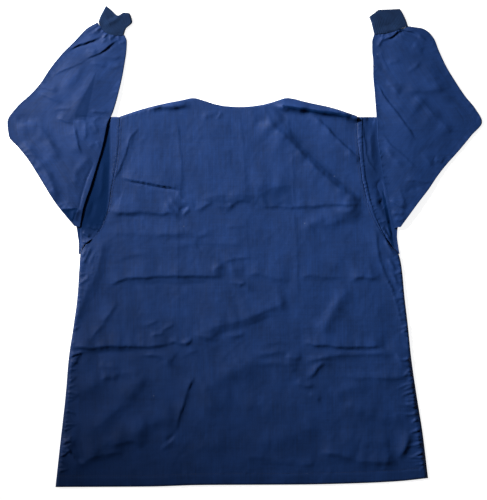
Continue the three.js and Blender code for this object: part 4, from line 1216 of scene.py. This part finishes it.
def build_tuck(name, tuck, strip, creases, gathers, outward, base, sunk, seed):
    """The stretch of sleeve beside an armhole that is folded in under the rest of it."""
    rows, columns, coarse = TUCK_MESH
    low, high = tuck[0][0], tuck[-1][0]
    y = (low + (high - low) * edge_spaced(high - low, rows))[:, None] + np.zeros((1, columns))
    seam = side_x(outward, y) + outward * SEAM_GAP
    hidden = smooth_table(tuck, 0, 1, y)
    u = np.linspace(0, 1, columns)[None, :]
    x = hidden + (seam - hidden) * u if outward < 0 else seam + (hidden - seam) * u
    from_seam = np.abs(x - seam)
    strip_width = np.maximum(outward * (smooth_table(strip, 0, 1, y) - seam), 0)
    sleeve_edge = SLEEVE_EDGES[outward]
    over = outward * (x - np.interp(y, sleeve_edge[0], sleeve_edge[1]))
    relief = whole_relief(creases, gathers, x, y, TUCK_SWELL, seed)
    seam_top = SEAM_HEIGHT[outward] + 0.2 * ease(from_seam / 1.6)
    drop = ease((from_seam - strip_width) / STRIP_FALL + 0.5)
    floor = base + (sunk - base) * ease((over + 34) / 34)
    floor = floor + (2.7 - floor) * ease((over - 4) / 14)
    top = seam_top + (floor - seam_top) * drop
    top = top + relief * (1 - 0.85 * ease((over + 8) / 8))
    limit = OPEN_LIMIT + (TUCK_TOP - OPEN_LIMIT) * ease((over + 5) / 5)
    ends = rounded_edge(high - y, 3.0)
    top = 0.6 + (np.clip(top, 0.9, limit) - 0.6) * (0.3 + 0.7 * ends)
    under = np.zeros_like(top)
    # Painted shade: the tucked-in cloth beyond the strip is darkened in place of the shadow under
    # the sleeve.
    tucked_in_shade = ease((from_seam - strip_width) / STRIP_FALL + 0.9) * ease((y - 8) / 40)
    wear_and_painted_shade = shaded(-tucked_in_shade * FOLDED_IN_SHADE[outward], TUCK_SHADES, x, y)
    return panel_shell(name, x, y, top, under, coarse, wear_and_painted_shade)


def sleeve_edge_line(table):
    """y and x of a sleeve's inner edge beside its armhole, with y rising."""
    (_, _, ix, iy), _, _ = sleeve_rows(table, 120)
    order = np.argsort(iy)
    return iy[order], ix[order]


SLEEVE_EDGES = {-1: sleeve_edge_line(LEFT_SLEEVE), 1: sleeve_edge_line(RIGHT_SLEEVE)}


# Cuffs
CUFF_EDGE_RADIUS = 4.0
CUFF_HALF = 1.85  # height of a cuff's side folds
CUFF_LOFT = 0.9
CUFF_WALL = 1.3
CUFF_ROW_GAP = 15  # length of knit from one line of its table to the next


def build_cuff_wall(name, lines, creases, seed):
    """A flattened knitted tube, still without its ribs, with the places that they need."""
    rows, columns, coarse = CUFF_MESH
    table = np.array(lines, float)
    down = np.linspace(0, len(lines) - 1, rows)
    across = np.linspace(0, table.shape[1] - 1, columns)
    steps = np.arange(table.shape[1], dtype=float)
    levels = np.arange(len(lines), dtype=float)
    rough = np.array([[smooth_curve(steps, line[:, k], across) for line in table] for k in (0, 1)])
    x, y = (
        np.array([smooth_curve(levels, grid[:, c], down) for c in range(columns)]).T
        for grid in rough
    )
    w = np.linspace(0, 1, columns)[None, :] + 0 * x
    width = np.hypot(x[:, -1] - x[:, 0], y[:, -1] - y[:, 0])[:, None]
    profile = 1.0
    for from_edge in (w * width, (1 - w) * width):
        profile = profile * rounded_edge(from_edge, CUFF_EDGE_RADIUS)
    flat_x, flat_y = x.ravel(), y.ravel()
    relief = crease_relief(creases, flat_x, flat_y, 1.0) + 0.4 * bumps(flat_x, flat_y, 24, seed)
    relief = relief.reshape(x.shape)
    mouth = 0.5 * ease(1 - (len(lines) - 1 - down) / 0.35)[:, None]
    top = CUFF_HALF + profile * (CUFF_HALF + CUFF_LOFT + np.maximum(relief, -1.0) - mouth)
    every = np.arange(columns)
    back = every[-2:0:-1]
    pick = spread_out(columns, coarse)
    inside = pick[1:-1]
    way = np.sign(x[0, -1] - x[0, 0])

    def fold(column, shift):
        return column_points(x + shift, y, [column], CUFF_HALF)

    lid = np.maximum(lowest_near(top, 2, 10)[:, inside] - CUFF_WALL, CUFF_HALF)
    outer = column_points(x, y, every, top), column_points(x, y, back, 0.8)
    inner = (
        fold(0, way * CUFF_WALL), column_points(x, y, inside, lid),
        fold(columns - 1, -way * CUFF_WALL), column_points(x, y, inside[::-1], 1.5),
    )
    outer, inner = np.concatenate(outer, axis=1), np.concatenate(inner, axis=1)
    across, run = w * width, down[:, None] * CUFF_ROW_GAP
    weave = (
        woven_ring(across, run, (every, 1), (back, -1)),
        woven_ring(across, run, (pick, 1), (inside[::-1], -1)),
    )
    piece = tube_shell(name, outer, inner, weave)
    hidden = np.zeros(inner.shape[0] * inner.shape[1])
    seen = np.concatenate([w, w[:, back]], axis=1).ravel()
    for title, values in (("knit_face", np.ones_like(seen)), ("knit_across", seen)):
        add_values(piece.data, title, np.concatenate([values, hidden]))
    return piece


# Node trees
def add_node(tree, kind, inputs=None, **settings):
    """Adds one node with its settings. A value in inputs is a number or a socket to link."""
    node = tree.nodes.new(kind)
    for name, value in settings.items():
        setattr(node, name, value)
    for name, value in (inputs or {}).items():
        socket = node.inputs[name]
        if isinstance(value, bpy.types.NodeSocket):
            tree.links.new(value, socket)
        else:
            socket.default_value = value
    return node


def new_tree(name, sizes):
    """A geometry tree with a geometry input and output and the named sizes as inputs."""
    tree = bpy.data.node_groups.new(name, "GeometryNodeTree")
    tree.interface.new_socket("Geometry", in_out="INPUT", socket_type="NodeSocketGeometry")
    for title in sizes:
        tree.interface.new_socket(title, in_out="INPUT", socket_type="NodeSocketFloat")
    tree.interface.new_socket("Geometry", in_out="OUTPUT", socket_type="NodeSocketGeometry")
    return tree, add_node(tree, "NodeGroupInput")


def close_tree(tree, geometry, material):
    real = add_node(tree, "GeometryNodeRealizeInstances", {"Geometry": geometry})
    painted = add_node(
        tree, "GeometryNodeSetMaterial", {"Geometry": real.outputs[0], "Material": material}
    )
    add_node(tree, "NodeGroupOutput", {"Geometry": painted.outputs[0]})


def math_node(tree, operation, first, second):
    return add_node(tree, "ShaderNodeMath", {0: first, 1: second}, operation=operation).outputs[0]


def stitch_tree(material):
    """Threads laid end to end along every line of the mesh."""
    tree, given = new_tree("stitch_run", ("Pitch", "Stitch length", "Thread width"))
    line = add_node(tree, "GeometryNodeMeshToCurve", {"Mesh": given.outputs["Geometry"]})
    spaced = add_node(
        tree, "GeometryNodeResampleCurve",
        {"Curve": line.outputs[0], "Length": given.outputs["Pitch"]}, mode="LENGTH",
    )
    ball = add_node(tree, "GeometryNodeMeshUVSphere", {"Segments": 6, "Rings": 5, "Radius": 0.5})
    smooth = add_node(tree, "GeometryNodeSetShadeSmooth", {"Geometry": ball.outputs["Mesh"]})
    tangent = add_node(tree, "GeometryNodeInputTangent")
    turned = add_node(
        tree, "FunctionNodeAlignRotationToVector", {"Vector": tangent.outputs[0]}, axis="X"
    )
    width = given.outputs["Thread width"]
    size = add_node(
        tree, "ShaderNodeCombineXYZ",
        {
            "X": given.outputs["Stitch length"], "Y": width,
            "Z": math_node(tree, "MULTIPLY", width, 0.6),
        },
    )
    threads = add_node(
        tree, "GeometryNodeInstanceOnPoints",
        {
            "Points": spaced.outputs[0], "Instance": smooth.outputs[0],
            "Rotation": turned.outputs[0], "Scale": size.outputs[0],
        },
    )
    close_tree(tree, threads.outputs[0], material)
    return tree


def rib_tree(material):
    """Ribs on a knitted wall, along the lines where knit_across times Ribs is whole."""
    tree, given = new_tree("knit_ribs", ("Ribs", "Rib height"))
    across, face = (
        add_node(tree, "GeometryNodeInputNamedAttribute", {"Name": name}, data_type="FLOAT")
        for name in ("knit_across", "knit_face")
    )
    turns = math_node(tree, "MULTIPLY", across.outputs["Attribute"], given.outputs["Ribs"])
    wave = math_node(tree, "COSINE", math_node(tree, "MULTIPLY", turns, 2 * math.pi), 0.0)
    bulge = math_node(tree, "MULTIPLY", math_node(tree, "SUBTRACT", 1.0, wave), 0.5)
    full = math_node(tree, "POWER", bulge, 0.6)
    high = math_node(tree, "MULTIPLY", full, given.outputs["Rib height"])
    on_face = math_node(tree, "MULTIPLY", high, face.outputs["Attribute"])
    normal = add_node(tree, "GeometryNodeInputNormal")
    push = add_node(
        tree, "ShaderNodeVectorMath", {0: normal.outputs[0], "Scale": on_face}, operation="SCALE"
    )
    moved = add_node(
        tree, "GeometryNodeSetPosition",
        {"Geometry": given.outputs["Geometry"], "Offset": push.outputs[0]},
    )
    close_tree(tree, moved.outputs[0], material)
    return tree


def grown(source, tree, values, name):
    """Runs a tree on an object and returns the result as a plain mesh piece."""
    modifier = source.modifiers.new("grow", "NODES")
    modifier.node_group = tree
    for item in tree.interface.items_tree:
        if item.in_out == "INPUT" and item.name in values:
            modifier[item.identifier] = values[item.name]
    source.update_tag()
    graph = bpy.context.evaluated_depsgraph_get()
    mesh = bpy.data.meshes.new_from_object(source.evaluated_get(graph))
    source.modifiers.clear()
    bpy.data.objects.remove(source)
    mesh.name = name
    return put_in_scene(name, mesh)


# Materials
def linear(hex_colour):
    """An sRGB hex colour as linear red, green and blue."""
    parts = [int(hex_colour[k : k + 2], 16) / 255 for k in (1, 3, 5)]
    return tuple(p / 12.92 if p <= 0.04045 else ((p + 0.055) / 1.055) ** 2.4 for p in parts)


def start_material(name):
    material = bpy.data.materials.new(name)
    material.use_nodes = True
    tree = material.node_tree
    tree.nodes.clear()
    return material, tree


def colour_mix(tree, share, first, second):
    inputs = {0: share, 6: first, 7: second}
    return add_node(tree, "ShaderNodeMix", inputs, data_type="RGBA", blend_type="MIX").outputs[2]


def ranged(tree, value, low, high, to_low=0.0, to_high=1.0):
    return add_node(
        tree, "ShaderNodeMapRange",
        {"Value": value, "From Min": low, "From Max": high, "To Min": to_low, "To Max": to_high},
    ).outputs[0]


def weave_noise(tree, place, size, detail=2.0, rough=0.5):
    """Noise on the cloth with bumps of size (across, along) millimetres."""
    scaled = add_node(
        tree, "ShaderNodeMapping", {"Vector": place, "Scale": (1000 / size[0], 1000 / size[1], 1.0)}
    )
    return add_node(
        tree, "ShaderNodeTexNoise",
        {"Vector": scaled.outputs[0], "Scale": 1.0, "Detail": detail, "Roughness": rough},
    ).outputs["Fac"]


def weighted(tree, *parts):
    """Sum of values, each given with its weight."""
    total = 0.0
    for value, weight in parts:
        total = math_node(tree, "ADD", total, math_node(tree, "MULTIPLY", value, weight))
    return total


def even_waves(tree, place, way, pitch, distortion):
    """Waves a pitch in millimetres apart."""
    return add_node(
        tree, "ShaderNodeTexWave",
        {"Vector": place, "Scale": 1000 / (2 * math.pi * pitch), "Distortion": distortion},
        bands_direction=way,
    ).outputs["Fac"]


def bumped(tree, height, strength, distance):
    inputs = {"Strength": strength, "Distance": distance, "Height": height}
    return add_node(tree, "ShaderNodeBump", inputs).outputs[0]


def close_material(tree, inputs):
    surface = add_node(tree, "ShaderNodeBsdfPrincipled", inputs)
    add_node(tree, "ShaderNodeOutputMaterial", {"Surface": surface.outputs[0]})


LINT = "#B3BCCB"
KNIT_SHEEN = "#E1ECFF"
DEEP_SHADE = (0.55, 0.72, 0.74)  # shares of the dark tone that are left in the painted shade, where the cloth is painted darkest
RIBS_ACROSS = 22


def poplin_woven(dark, light):
    """Plain-woven poly-cotton poplin, piece-dyed navy: matt, close, with faint slubs both ways."""
    material, tree = start_material("poplin_plain_woven")
    place = add_node(tree, "ShaderNodeUVMap", uv_map="weave").outputs[0]
    # Yarns lie 0.25 mm apart, too fine to show, so slubs are drawn as streaks 2 to 3 mm wide.
    warp = weave_noise(tree, place, (2.4, 70.0), 3.0, 0.6)
    weft = weave_noise(tree, place, (80.0, 2.8), 3.0, 0.6)
    cloud = weave_noise(tree, place, (46.0, 52.0), 3.0, 0.55)
    fleck = weave_noise(tree, place, (2.2, 2.2), 2.0, 0.7)
    tone = weighted(tree, (warp, 0.5), (weft, 0.3), (cloud, 0.55), (fleck, 0.25))
    cloth = colour_mix(tree, ranged(tree, tone, 0.62, 0.98), (*dark, 1), (*light, 1))
    # Rubbed edges, where worn is positive, are a little paler.
    wear_and_painted_shade = add_node(tree, "ShaderNodeAttribute", attribute_name="wear_and_painted_shade").outputs["Fac"]
    pale = (*[min(1, 2.1 * part + 0.004) for part in light], 1)
    cloth = colour_mix(tree, ranged(tree, wear_and_painted_shade, 0.0, 1.0, 0.0, 0.1), cloth, pale)
    # Painted shade: negative values darken the colour towards a deep tone and lower the shine, in
    # place of the shade on folded edges, tucked-in cloth and flats turned from the light.
    deep = (*[keep * part for keep, part in zip(DEEP_SHADE, dark)], 1)
    cloth = colour_mix(tree, ranged(tree, wear_and_painted_shade, 0.0, -1.0), cloth, deep)
    # A few specks of pale lint, about a millimetre across.
    specks = add_node(
        tree, "ShaderNodeTexVoronoi", {"Vector": place, "Scale": 1000 / 60.0, "Randomness": 1.0},
        voronoi_dimensions="2D",
    )
    near = ranged(tree, specks.outputs["Distance"], 0.026, 0.012)
    rare = add_node(tree, "ShaderNodeSeparateColor", {0: specks.outputs["Color"]}).outputs[0]
    speck = math_node(tree, "MULTIPLY", near, ranged(tree, rare, 0.96, 0.97))
    cloth = colour_mix(tree, math_node(tree, "MULTIPLY", speck, 0.1), cloth, (*linear(LINT), 1))
    pitches = (("X", 0.55), ("Y", 0.65))
    yarns = [(even_waves(tree, place, way, pitch, 0.6), 0.1) for way, pitch in pitches]
    crumple = weave_noise(tree, place, (7.0, 8.0), 4.0, 0.6)
    height = weighted(tree, *yarns, (warp, 0.5), (weft, 0.5), (crumple, 1.6))
    close_material(tree, {
        "Base Color": cloth, "Roughness": ranged(tree, cloud, 0.3, 0.7, 0.58, 0.66), "IOR": 1.46,
        # Less shine where the shade is painted.
        "Specular IOR Level": ranged(tree, wear_and_painted_shade, 0.0, -1.0, 0.24, 0.04),
        "Normal": bumped(tree, height, 0.55, 0.00022),
    })
    return material


def knit_ribbed(dark, light):
    """One-by-one rib knit in navy: matt and soft, its stitches as small steps along each rib."""
    material, tree = start_material("rib_knit_one_by_one")
    place = add_node(tree, "ShaderNodeUVMap", uv_map="weave").outputs[0]
    # Courses of knitting lie 0.7 mm apart and are drawn at 1.3 mm so that they show.
    courses = even_waves(tree, place, "Y", 1.3, 1.2)
    fuzz = weave_noise(tree, place, (1.6, 3.0), 3.0, 0.7)
    cloud = weave_noise(tree, place, (18.0, 22.0), 2.0, 0.5)
    ribs = add_node(tree, "ShaderNodeAttribute", attribute_name="knit_across").outputs["Fac"]
    turn = math_node(tree, "MULTIPLY", ribs, 2 * math.pi * RIBS_ACROSS)
    # Painted shade: the colour is darker along the valleys between the ribs.
    valley_shade = ranged(tree, math_node(tree, "COSINE", turn, 0.0), 0.2, 1.0, 0.0, 0.55)
    tone = ranged(tree, weighted(tree, (cloud, 0.6), (fuzz, 0.5)), 0.4, 0.7)
    share = math_node(tree, "SUBTRACT", tone, valley_shade)
    height = weighted(tree, (courses, 0.7), (fuzz, 1.0))
    close_material(tree, {
        "Base Color": colour_mix(tree, ranged(tree, share, -0.5, 1.0), (*dark, 1), (*light, 1)),
        "Roughness": 0.88, "Specular IOR Level": 0.1, "Normal": bumped(tree, height, 0.6, 0.0002),
        "Sheen Weight": 0.04, "Sheen Roughness": 0.55, "Sheen Tint": (*linear(KNIT_SHEEN), 1),
    })
    return material


def grained(tree, scale, first, second):
    """Fine grain between two colours."""
    place = add_node(tree, "ShaderNodeTexCoord").outputs["Object"]
    noise = add_node(tree, "ShaderNodeTexNoise", {"Vector": place, "Scale": scale, "Detail": 2.0})
    return colour_mix(tree, ranged(tree, noise.outputs["Fac"], 0.3, 0.7), first, second)


def thread_spun(colour):
    """Spun polyester sewing thread: a little brighter than the cloth and slightly shiny."""
    material, tree = start_material("thread_spun_polyester")
    low, high = ((*[share * part for part in colour], 1) for share in (0.75, 1.2))
    twist = grained(tree, 900.0, low, high)
    close_material(tree, {"Base Color": twist, "Roughness": 0.55, "Specular IOR Level": 0.5})
    return material


def floor_paper():
    """Matt white paper, lit from under so that it stays as pale as a cut-out page."""
    material, tree = start_material("paper_matt_white")
    tone = grained(tree, 240.0, *((*linear(grey), 1) for grey in PAPER_GREYS))
    close_material(tree, {
        "Base Color": tone, "Roughness": 0.9, "Specular IOR Level": 0.1,
        "Emission Color": (1, 1, 1, 1), "Emission Strength": 0.9,
    })
    return material


# Stitching
DROP_HEIGHT = 0.1  # in metres, from where lines are dropped onto the cloth
SEWN_STEP, LOWEST_THREAD = 1.5, 0.25
# Each run: the piece it is sewn on, and its line.
TOP_STITCHES = [
    ("back_cloth", [
        (-372, -457), (-189, -456), (-89, -453), (111, -452), (237, -449), (311, -445),
        (360, -440),
    ]),
    ("back_cloth", [
        (-245.5, 256), (-246.5, 224), (-250, 184), (-257, 144), (-263, 114), (-266, 90),
        (-271, 68),
    ]),
    ("back_cloth", [
        (221, 256), (221, 224), (224, 184), (229, 144), (235, 114), (241, 90), (249, 68),
        (261, 46),
    ]),
    ("back_cloth", [
        (-100, 293), (-79, 288), (-57, 281.5), (-33, 277.5), (-9, 276.5), (21, 278), (47, 283),
        (67, 288.5), (82, 293),
    ]),
    ("sleeve_left_tuck_cloth", [(-253, 254), (-254, 224), (-257, 184), (-264, 146)]),
]


def front_sewing():
    """The hem's and the neckline's rows of stitches on the hidden front."""
    left, right = side_x(-1, -430.0), side_x(1, -430.0)
    x = np.linspace(left + 8, right - 8, 60)
    hem = np.column_stack([x, hem_y(x) + HEM_SEWN])
    x = np.linspace(NECK_LEFT_X + 3, NECK_RIGHT_X - 3, 61)
    top, bottom = top_y(x), hem_y(x)
    share = 1 - NECK_SEWN / (top - bottom)
    neck = np.column_stack([x, top - NECK_SEWN - NECK_V_DEPTH * neck_share(x) * share**3])
    turn = len(x) // 2
    return [hem, neck[: turn + 1], neck[turn:]]


def sewn_line(piece, line, above):
    """Points along a line, dropped onto a piece from a height above the page."""
    path = smooth_path(line, SEWN_STEP)
    down = Vector((0, 0, -1 if above > 0 else 1))
    found = []
    for x, y, _ in to_frame(np.column_stack([path, 0 * path[:, 0]])):
        hit, place, _, _ = piece.ray_cast(Vector((x, y, above)), down)
        if hit:
            found.append((place.x, place.y, max(place.z, LOWEST_THREAD * MM)))
    return found


def thread_piece(name, lines, sizes, material):
    """All the threads of a group of lines as one mesh piece."""
    points, edges = [], []
    for line in lines:
        start = len(points)
        points += line
        edges += [(k, k + 1) for k in range(start, len(points) - 1)]
    mesh = bpy.data.meshes.new(name + "_line")
    mesh.from_pydata(points, edges, [])
    source = put_in_scene(name + "_line", mesh)
    values = {
        "Pitch": sizes.stitch_pitch,
        "Stitch length": sizes.stitch_length,
        "Thread width": sizes.thread_width,
    }
    return grown(source, stitch_tree(material), values, name)


def dress(piece, material):
    """Gives a piece its material and its body."""
    piece.data.materials.clear()
    piece.data.materials.append(material)
    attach(piece, "root")
    return piece


def material_once(name, make):
    return bpy.data.materials.get(name) or make()


def poplin():
    colours = bpy.context.scene.scrub_top_colours
    return material_once(
        "poplin_plain_woven", lambda: poplin_woven(colours.poplin_dark, colours.poplin_light)
    )


def thread():
    colours = bpy.context.scene.scrub_top_colours
    return material_once("thread_spun_polyester", lambda: thread_spun(colours.thread))


# Settings
def colour_property(title, about, hex_colour):
    return bpy.props.FloatVectorProperty(
        name=title, description=about, default=linear(hex_colour), subtype="COLOR", min=0, max=1
    )


def length_property(title, about, default):
    return bpy.props.FloatProperty(
        name=title, description=about, default=default, min=0, subtype="DISTANCE", unit="LENGTH"
    )


class ScrubTopSizes(bpy.types.PropertyGroup):
    stitch_length: length_property("Stitch length", "Length of one stitch", 0.0027)
    stitch_pitch: length_property("Stitch pitch", "Distance from one stitch to the next", 0.0036)
    thread_width: length_property("Thread width", "Width of the sewing thread", 0.0007)
    rib_height: length_property("Rib height", "How far a cuff's ribs stand out", 0.00035)
    camera_height: length_property("Camera height", "Height of the camera over the page", 3.0)
    page_height: length_property("Page height", "Length that the picture's long side takes in", 1.0)


class ScrubTopColours(bpy.types.PropertyGroup):
    poplin_dark: colour_property("Poplin, dark", "Darkest tone of the dyed poplin", "#0B2651")
    poplin_light: colour_property("Poplin, light", "Lightest tone of the dyed poplin", "#12336A")
    # knit_dark also carries the painted shade in the valleys between the ribs.
    knit_dark: colour_property("Knit, dark", "Tone between the ribs of the cuffs", "#0B1B37")
    knit_light: colour_property("Knit, light", "Tone on the ribs of the cuffs", "#152D50")
    thread: colour_property("Thread", "Colour of the sewing thread", "#0A1D42")


# Pieces
class SCRUBTOP_OT_body(bpy.types.Operator):
    """Makes the back and the front panel"""

    bl_idname = "scrubtop.body"
    bl_label = "Body panels"

    def execute(self, context):
        back = dress(build_back(), poplin())
        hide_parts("back")
        front = dress(build_front(), poplin())
        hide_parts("front")
        return {"FINISHED"}


class SCRUBTOP_OT_sleeves(bpy.types.Operator):
    """Makes both sleeves and the stretches of them that are folded in under the arms"""

    bl_idname = "scrubtop.sleeves"
    bl_label = "Sleeves"

    def execute(self, context):
        left = (LEFT_SLEEVE, LEFT_SLEEVE_CREASES, LEFT_SLEEVE_GATHERS, LEFT_TUCK, -1, 81, 1.5)
        right = (RIGHT_SLEEVE, RIGHT_SLEEVE_CREASES, RIGHT_SLEEVE_GATHERS, RIGHT_TUCK, 1, 91, 2.0)
        for side, settings in (("left", left), ("right", right)):
            sleeve = build_sleeve(f"sleeve_{side}_cloth", *settings)
            dress(sleeve, poplin())
            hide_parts(f"sleeve_{side}")
        left = (LEFT_TUCK, LEFT_STRIP, LEFT_TUCK_CREASES, LEFT_TUCK_GATHERS, -1, 4.8, 4.8, 101)
        right = (RIGHT_TUCK, RIGHT_STRIP, RIGHT_TUCK_CREASES, RIGHT_TUCK_GATHERS, 1, 3.6, 1.8, 111)
        for side, settings in (("left", left), ("right", right)):
            piece = build_tuck(f"sleeve_{side}_tuck_cloth", *settings)
            dress(piece, poplin())
            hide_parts(f"sleeve_{side}_tuck")
        return {"FINISHED"}


class SCRUBTOP_OT_cuffs(bpy.types.Operator):
    """Makes both rib-knit cuffs"""

    bl_idname = "scrubtop.cuffs"
    bl_label = "Cuffs"

    def execute(self, context):
        sizes, colours = context.scene.scrub_top_sizes, context.scene.scrub_top_colours
        knit = knit_ribbed(colours.knit_dark, colours.knit_light)
        values = {"Ribs": float(RIBS_ACROSS), "Rib height": sizes.rib_height}
        tree = rib_tree(knit)
        for side, lines, creases, seed in (
            ("left", LEFT_CUFF, LEFT_CUFF_CREASES, 121),
            ("right", RIGHT_CUFF, RIGHT_CUFF_CREASES, 131),
        ):
            wall = build_cuff_wall(f"cuff_{side}_wall", lines, creases, seed)
            piece = dress(grown(wall, tree, values, f"cuff_{side}_knit"), knit)
            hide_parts(f"cuff_{side}")
        return {"FINISHED"}


class SCRUBTOP_OT_stitching(bpy.types.Operator):
    """Sews the top stitching of the upper side and the rows on the hidden front"""

    bl_idname = "scrubtop.stitching"
    bl_label = "Stitching"

    def execute(self, context):
        sizes, front = context.scene.scrub_top_sizes, "front_cloth"
        under_rows = [(front, line) for line in front_sewing()]
        for name, rows, above in (
            ("thread_upper_side", TOP_STITCHES, DROP_HEIGHT),
            ("thread_under_side", under_rows, -DROP_HEIGHT),
        ):
            lines = [sewn_line(bpy.data.objects[cloth], line, above) for cloth, line in rows]
            dress(thread_piece(name, lines, sizes, thread()), thread())
        return {"FINISHED"}


class SCRUBTOP_OT_stage(bpy.types.Operator):
    """Sets the pale floor, the soft lights and the camera"""

    bl_idname = "scrubtop.stage"
    bl_label = "Stage"

    def execute(self, context):
        sizes = context.scene.scrub_top_sizes
        mesh = bpy.data.meshes.new("floor")
        corners = [(x * FLOOR_HALF, y * FLOOR_HALF, FLOOR_Z) for x, y in UNIT_SQUARE]
        mesh.from_pydata(corners, [], [(0, 1, 2, 3)])
        mesh.materials.append(floor_paper())
        put_in_scene("floor", mesh)
        area_light("window_light", *KEY_LIGHT)
        area_light("fill_light", *FILL_LIGHT)
        world = bpy.data.worlds.new("studio")
        world.use_nodes = True
        sky = world.node_tree.nodes["Background"].inputs
        sky["Color"].default_value = (0.95, 0.97, 1.0, 1)
        sky["Strength"].default_value = WORLD_LIGHT
        context.scene.world = world
        camera = bpy.data.cameras.new("camera")
        camera.sensor_width = 36.0
        camera.lens = camera.sensor_width * sizes.camera_height / sizes.page_height
        camera.clip_end = 20.0
        eye = put_in_scene("camera", camera)
        x, y = CAMERA_AIM
        eye.location = ((x - PAGE_MIDDLE[0]) * MM, (y - PAGE_MIDDLE[1]) * MM, sizes.camera_height)
        context.scene.camera = eye
        context.scene.view_settings.view_transform = "Standard"
        return {"FINISHED"}


def area_light(name, place, aim, size, power, colour, spread):
    light = bpy.data.lights.new(name, "AREA")
    light.shape = "DISK"
    light.size = size
    light.energy = power
    light.spread = spread
    light.color = colour
    lamp = put_in_scene(name, light)
    lamp.location = place
    lamp.rotation_euler = (Vector(aim) - Vector(place)).to_track_quat("-Z", "Y").to_euler()


class SCRUBTOP_PT_panel(bpy.types.Panel):
    """Lists the pieces and their settings"""

    bl_idname = "SCRUBTOP_PT_panel"
    bl_label = "Scrub top"
    bl_space_type = "VIEW_3D"
    bl_region_type = "UI"
    bl_category = "Scrub top"

    def draw(self, context):
        for group in (context.scene.scrub_top_sizes, context.scene.scrub_top_colours):
            for name in group.__annotations__:
                self.layout.prop(group, name)
        for operator in OPERATORS:
            self.layout.operator(operator.bl_idname)


OPERATORS = (
    SCRUBTOP_OT_body, SCRUBTOP_OT_sleeves, SCRUBTOP_OT_cuffs, SCRUBTOP_OT_stitching,
    SCRUBTOP_OT_stage,
)
CLASSES = (ScrubTopSizes, ScrubTopColours, *OPERATORS, SCRUBTOP_PT_panel)


def register():
    for cls in CLASSES:
        bpy.utils.register_class(cls)
    bpy.types.Scene.scrub_top_sizes = bpy.props.PointerProperty(type=ScrubTopSizes)
    bpy.types.Scene.scrub_top_colours = bpy.props.PointerProperty(type=ScrubTopColours)


def unregister():
    del bpy.types.Scene.scrub_top_sizes
    del bpy.types.Scene.scrub_top_colours
    for cls in reversed(CLASSES):
        bpy.utils.unregister_class(cls)


def main():
    register()
    bpy.ops.scrubtop.body()
    bpy.ops.scrubtop.sleeves()
    bpy.ops.scrubtop.cuffs()
    bpy.ops.scrubtop.stitching()
    bpy.ops.scrubtop.stage()


if __name__ == "__main__":
    main()
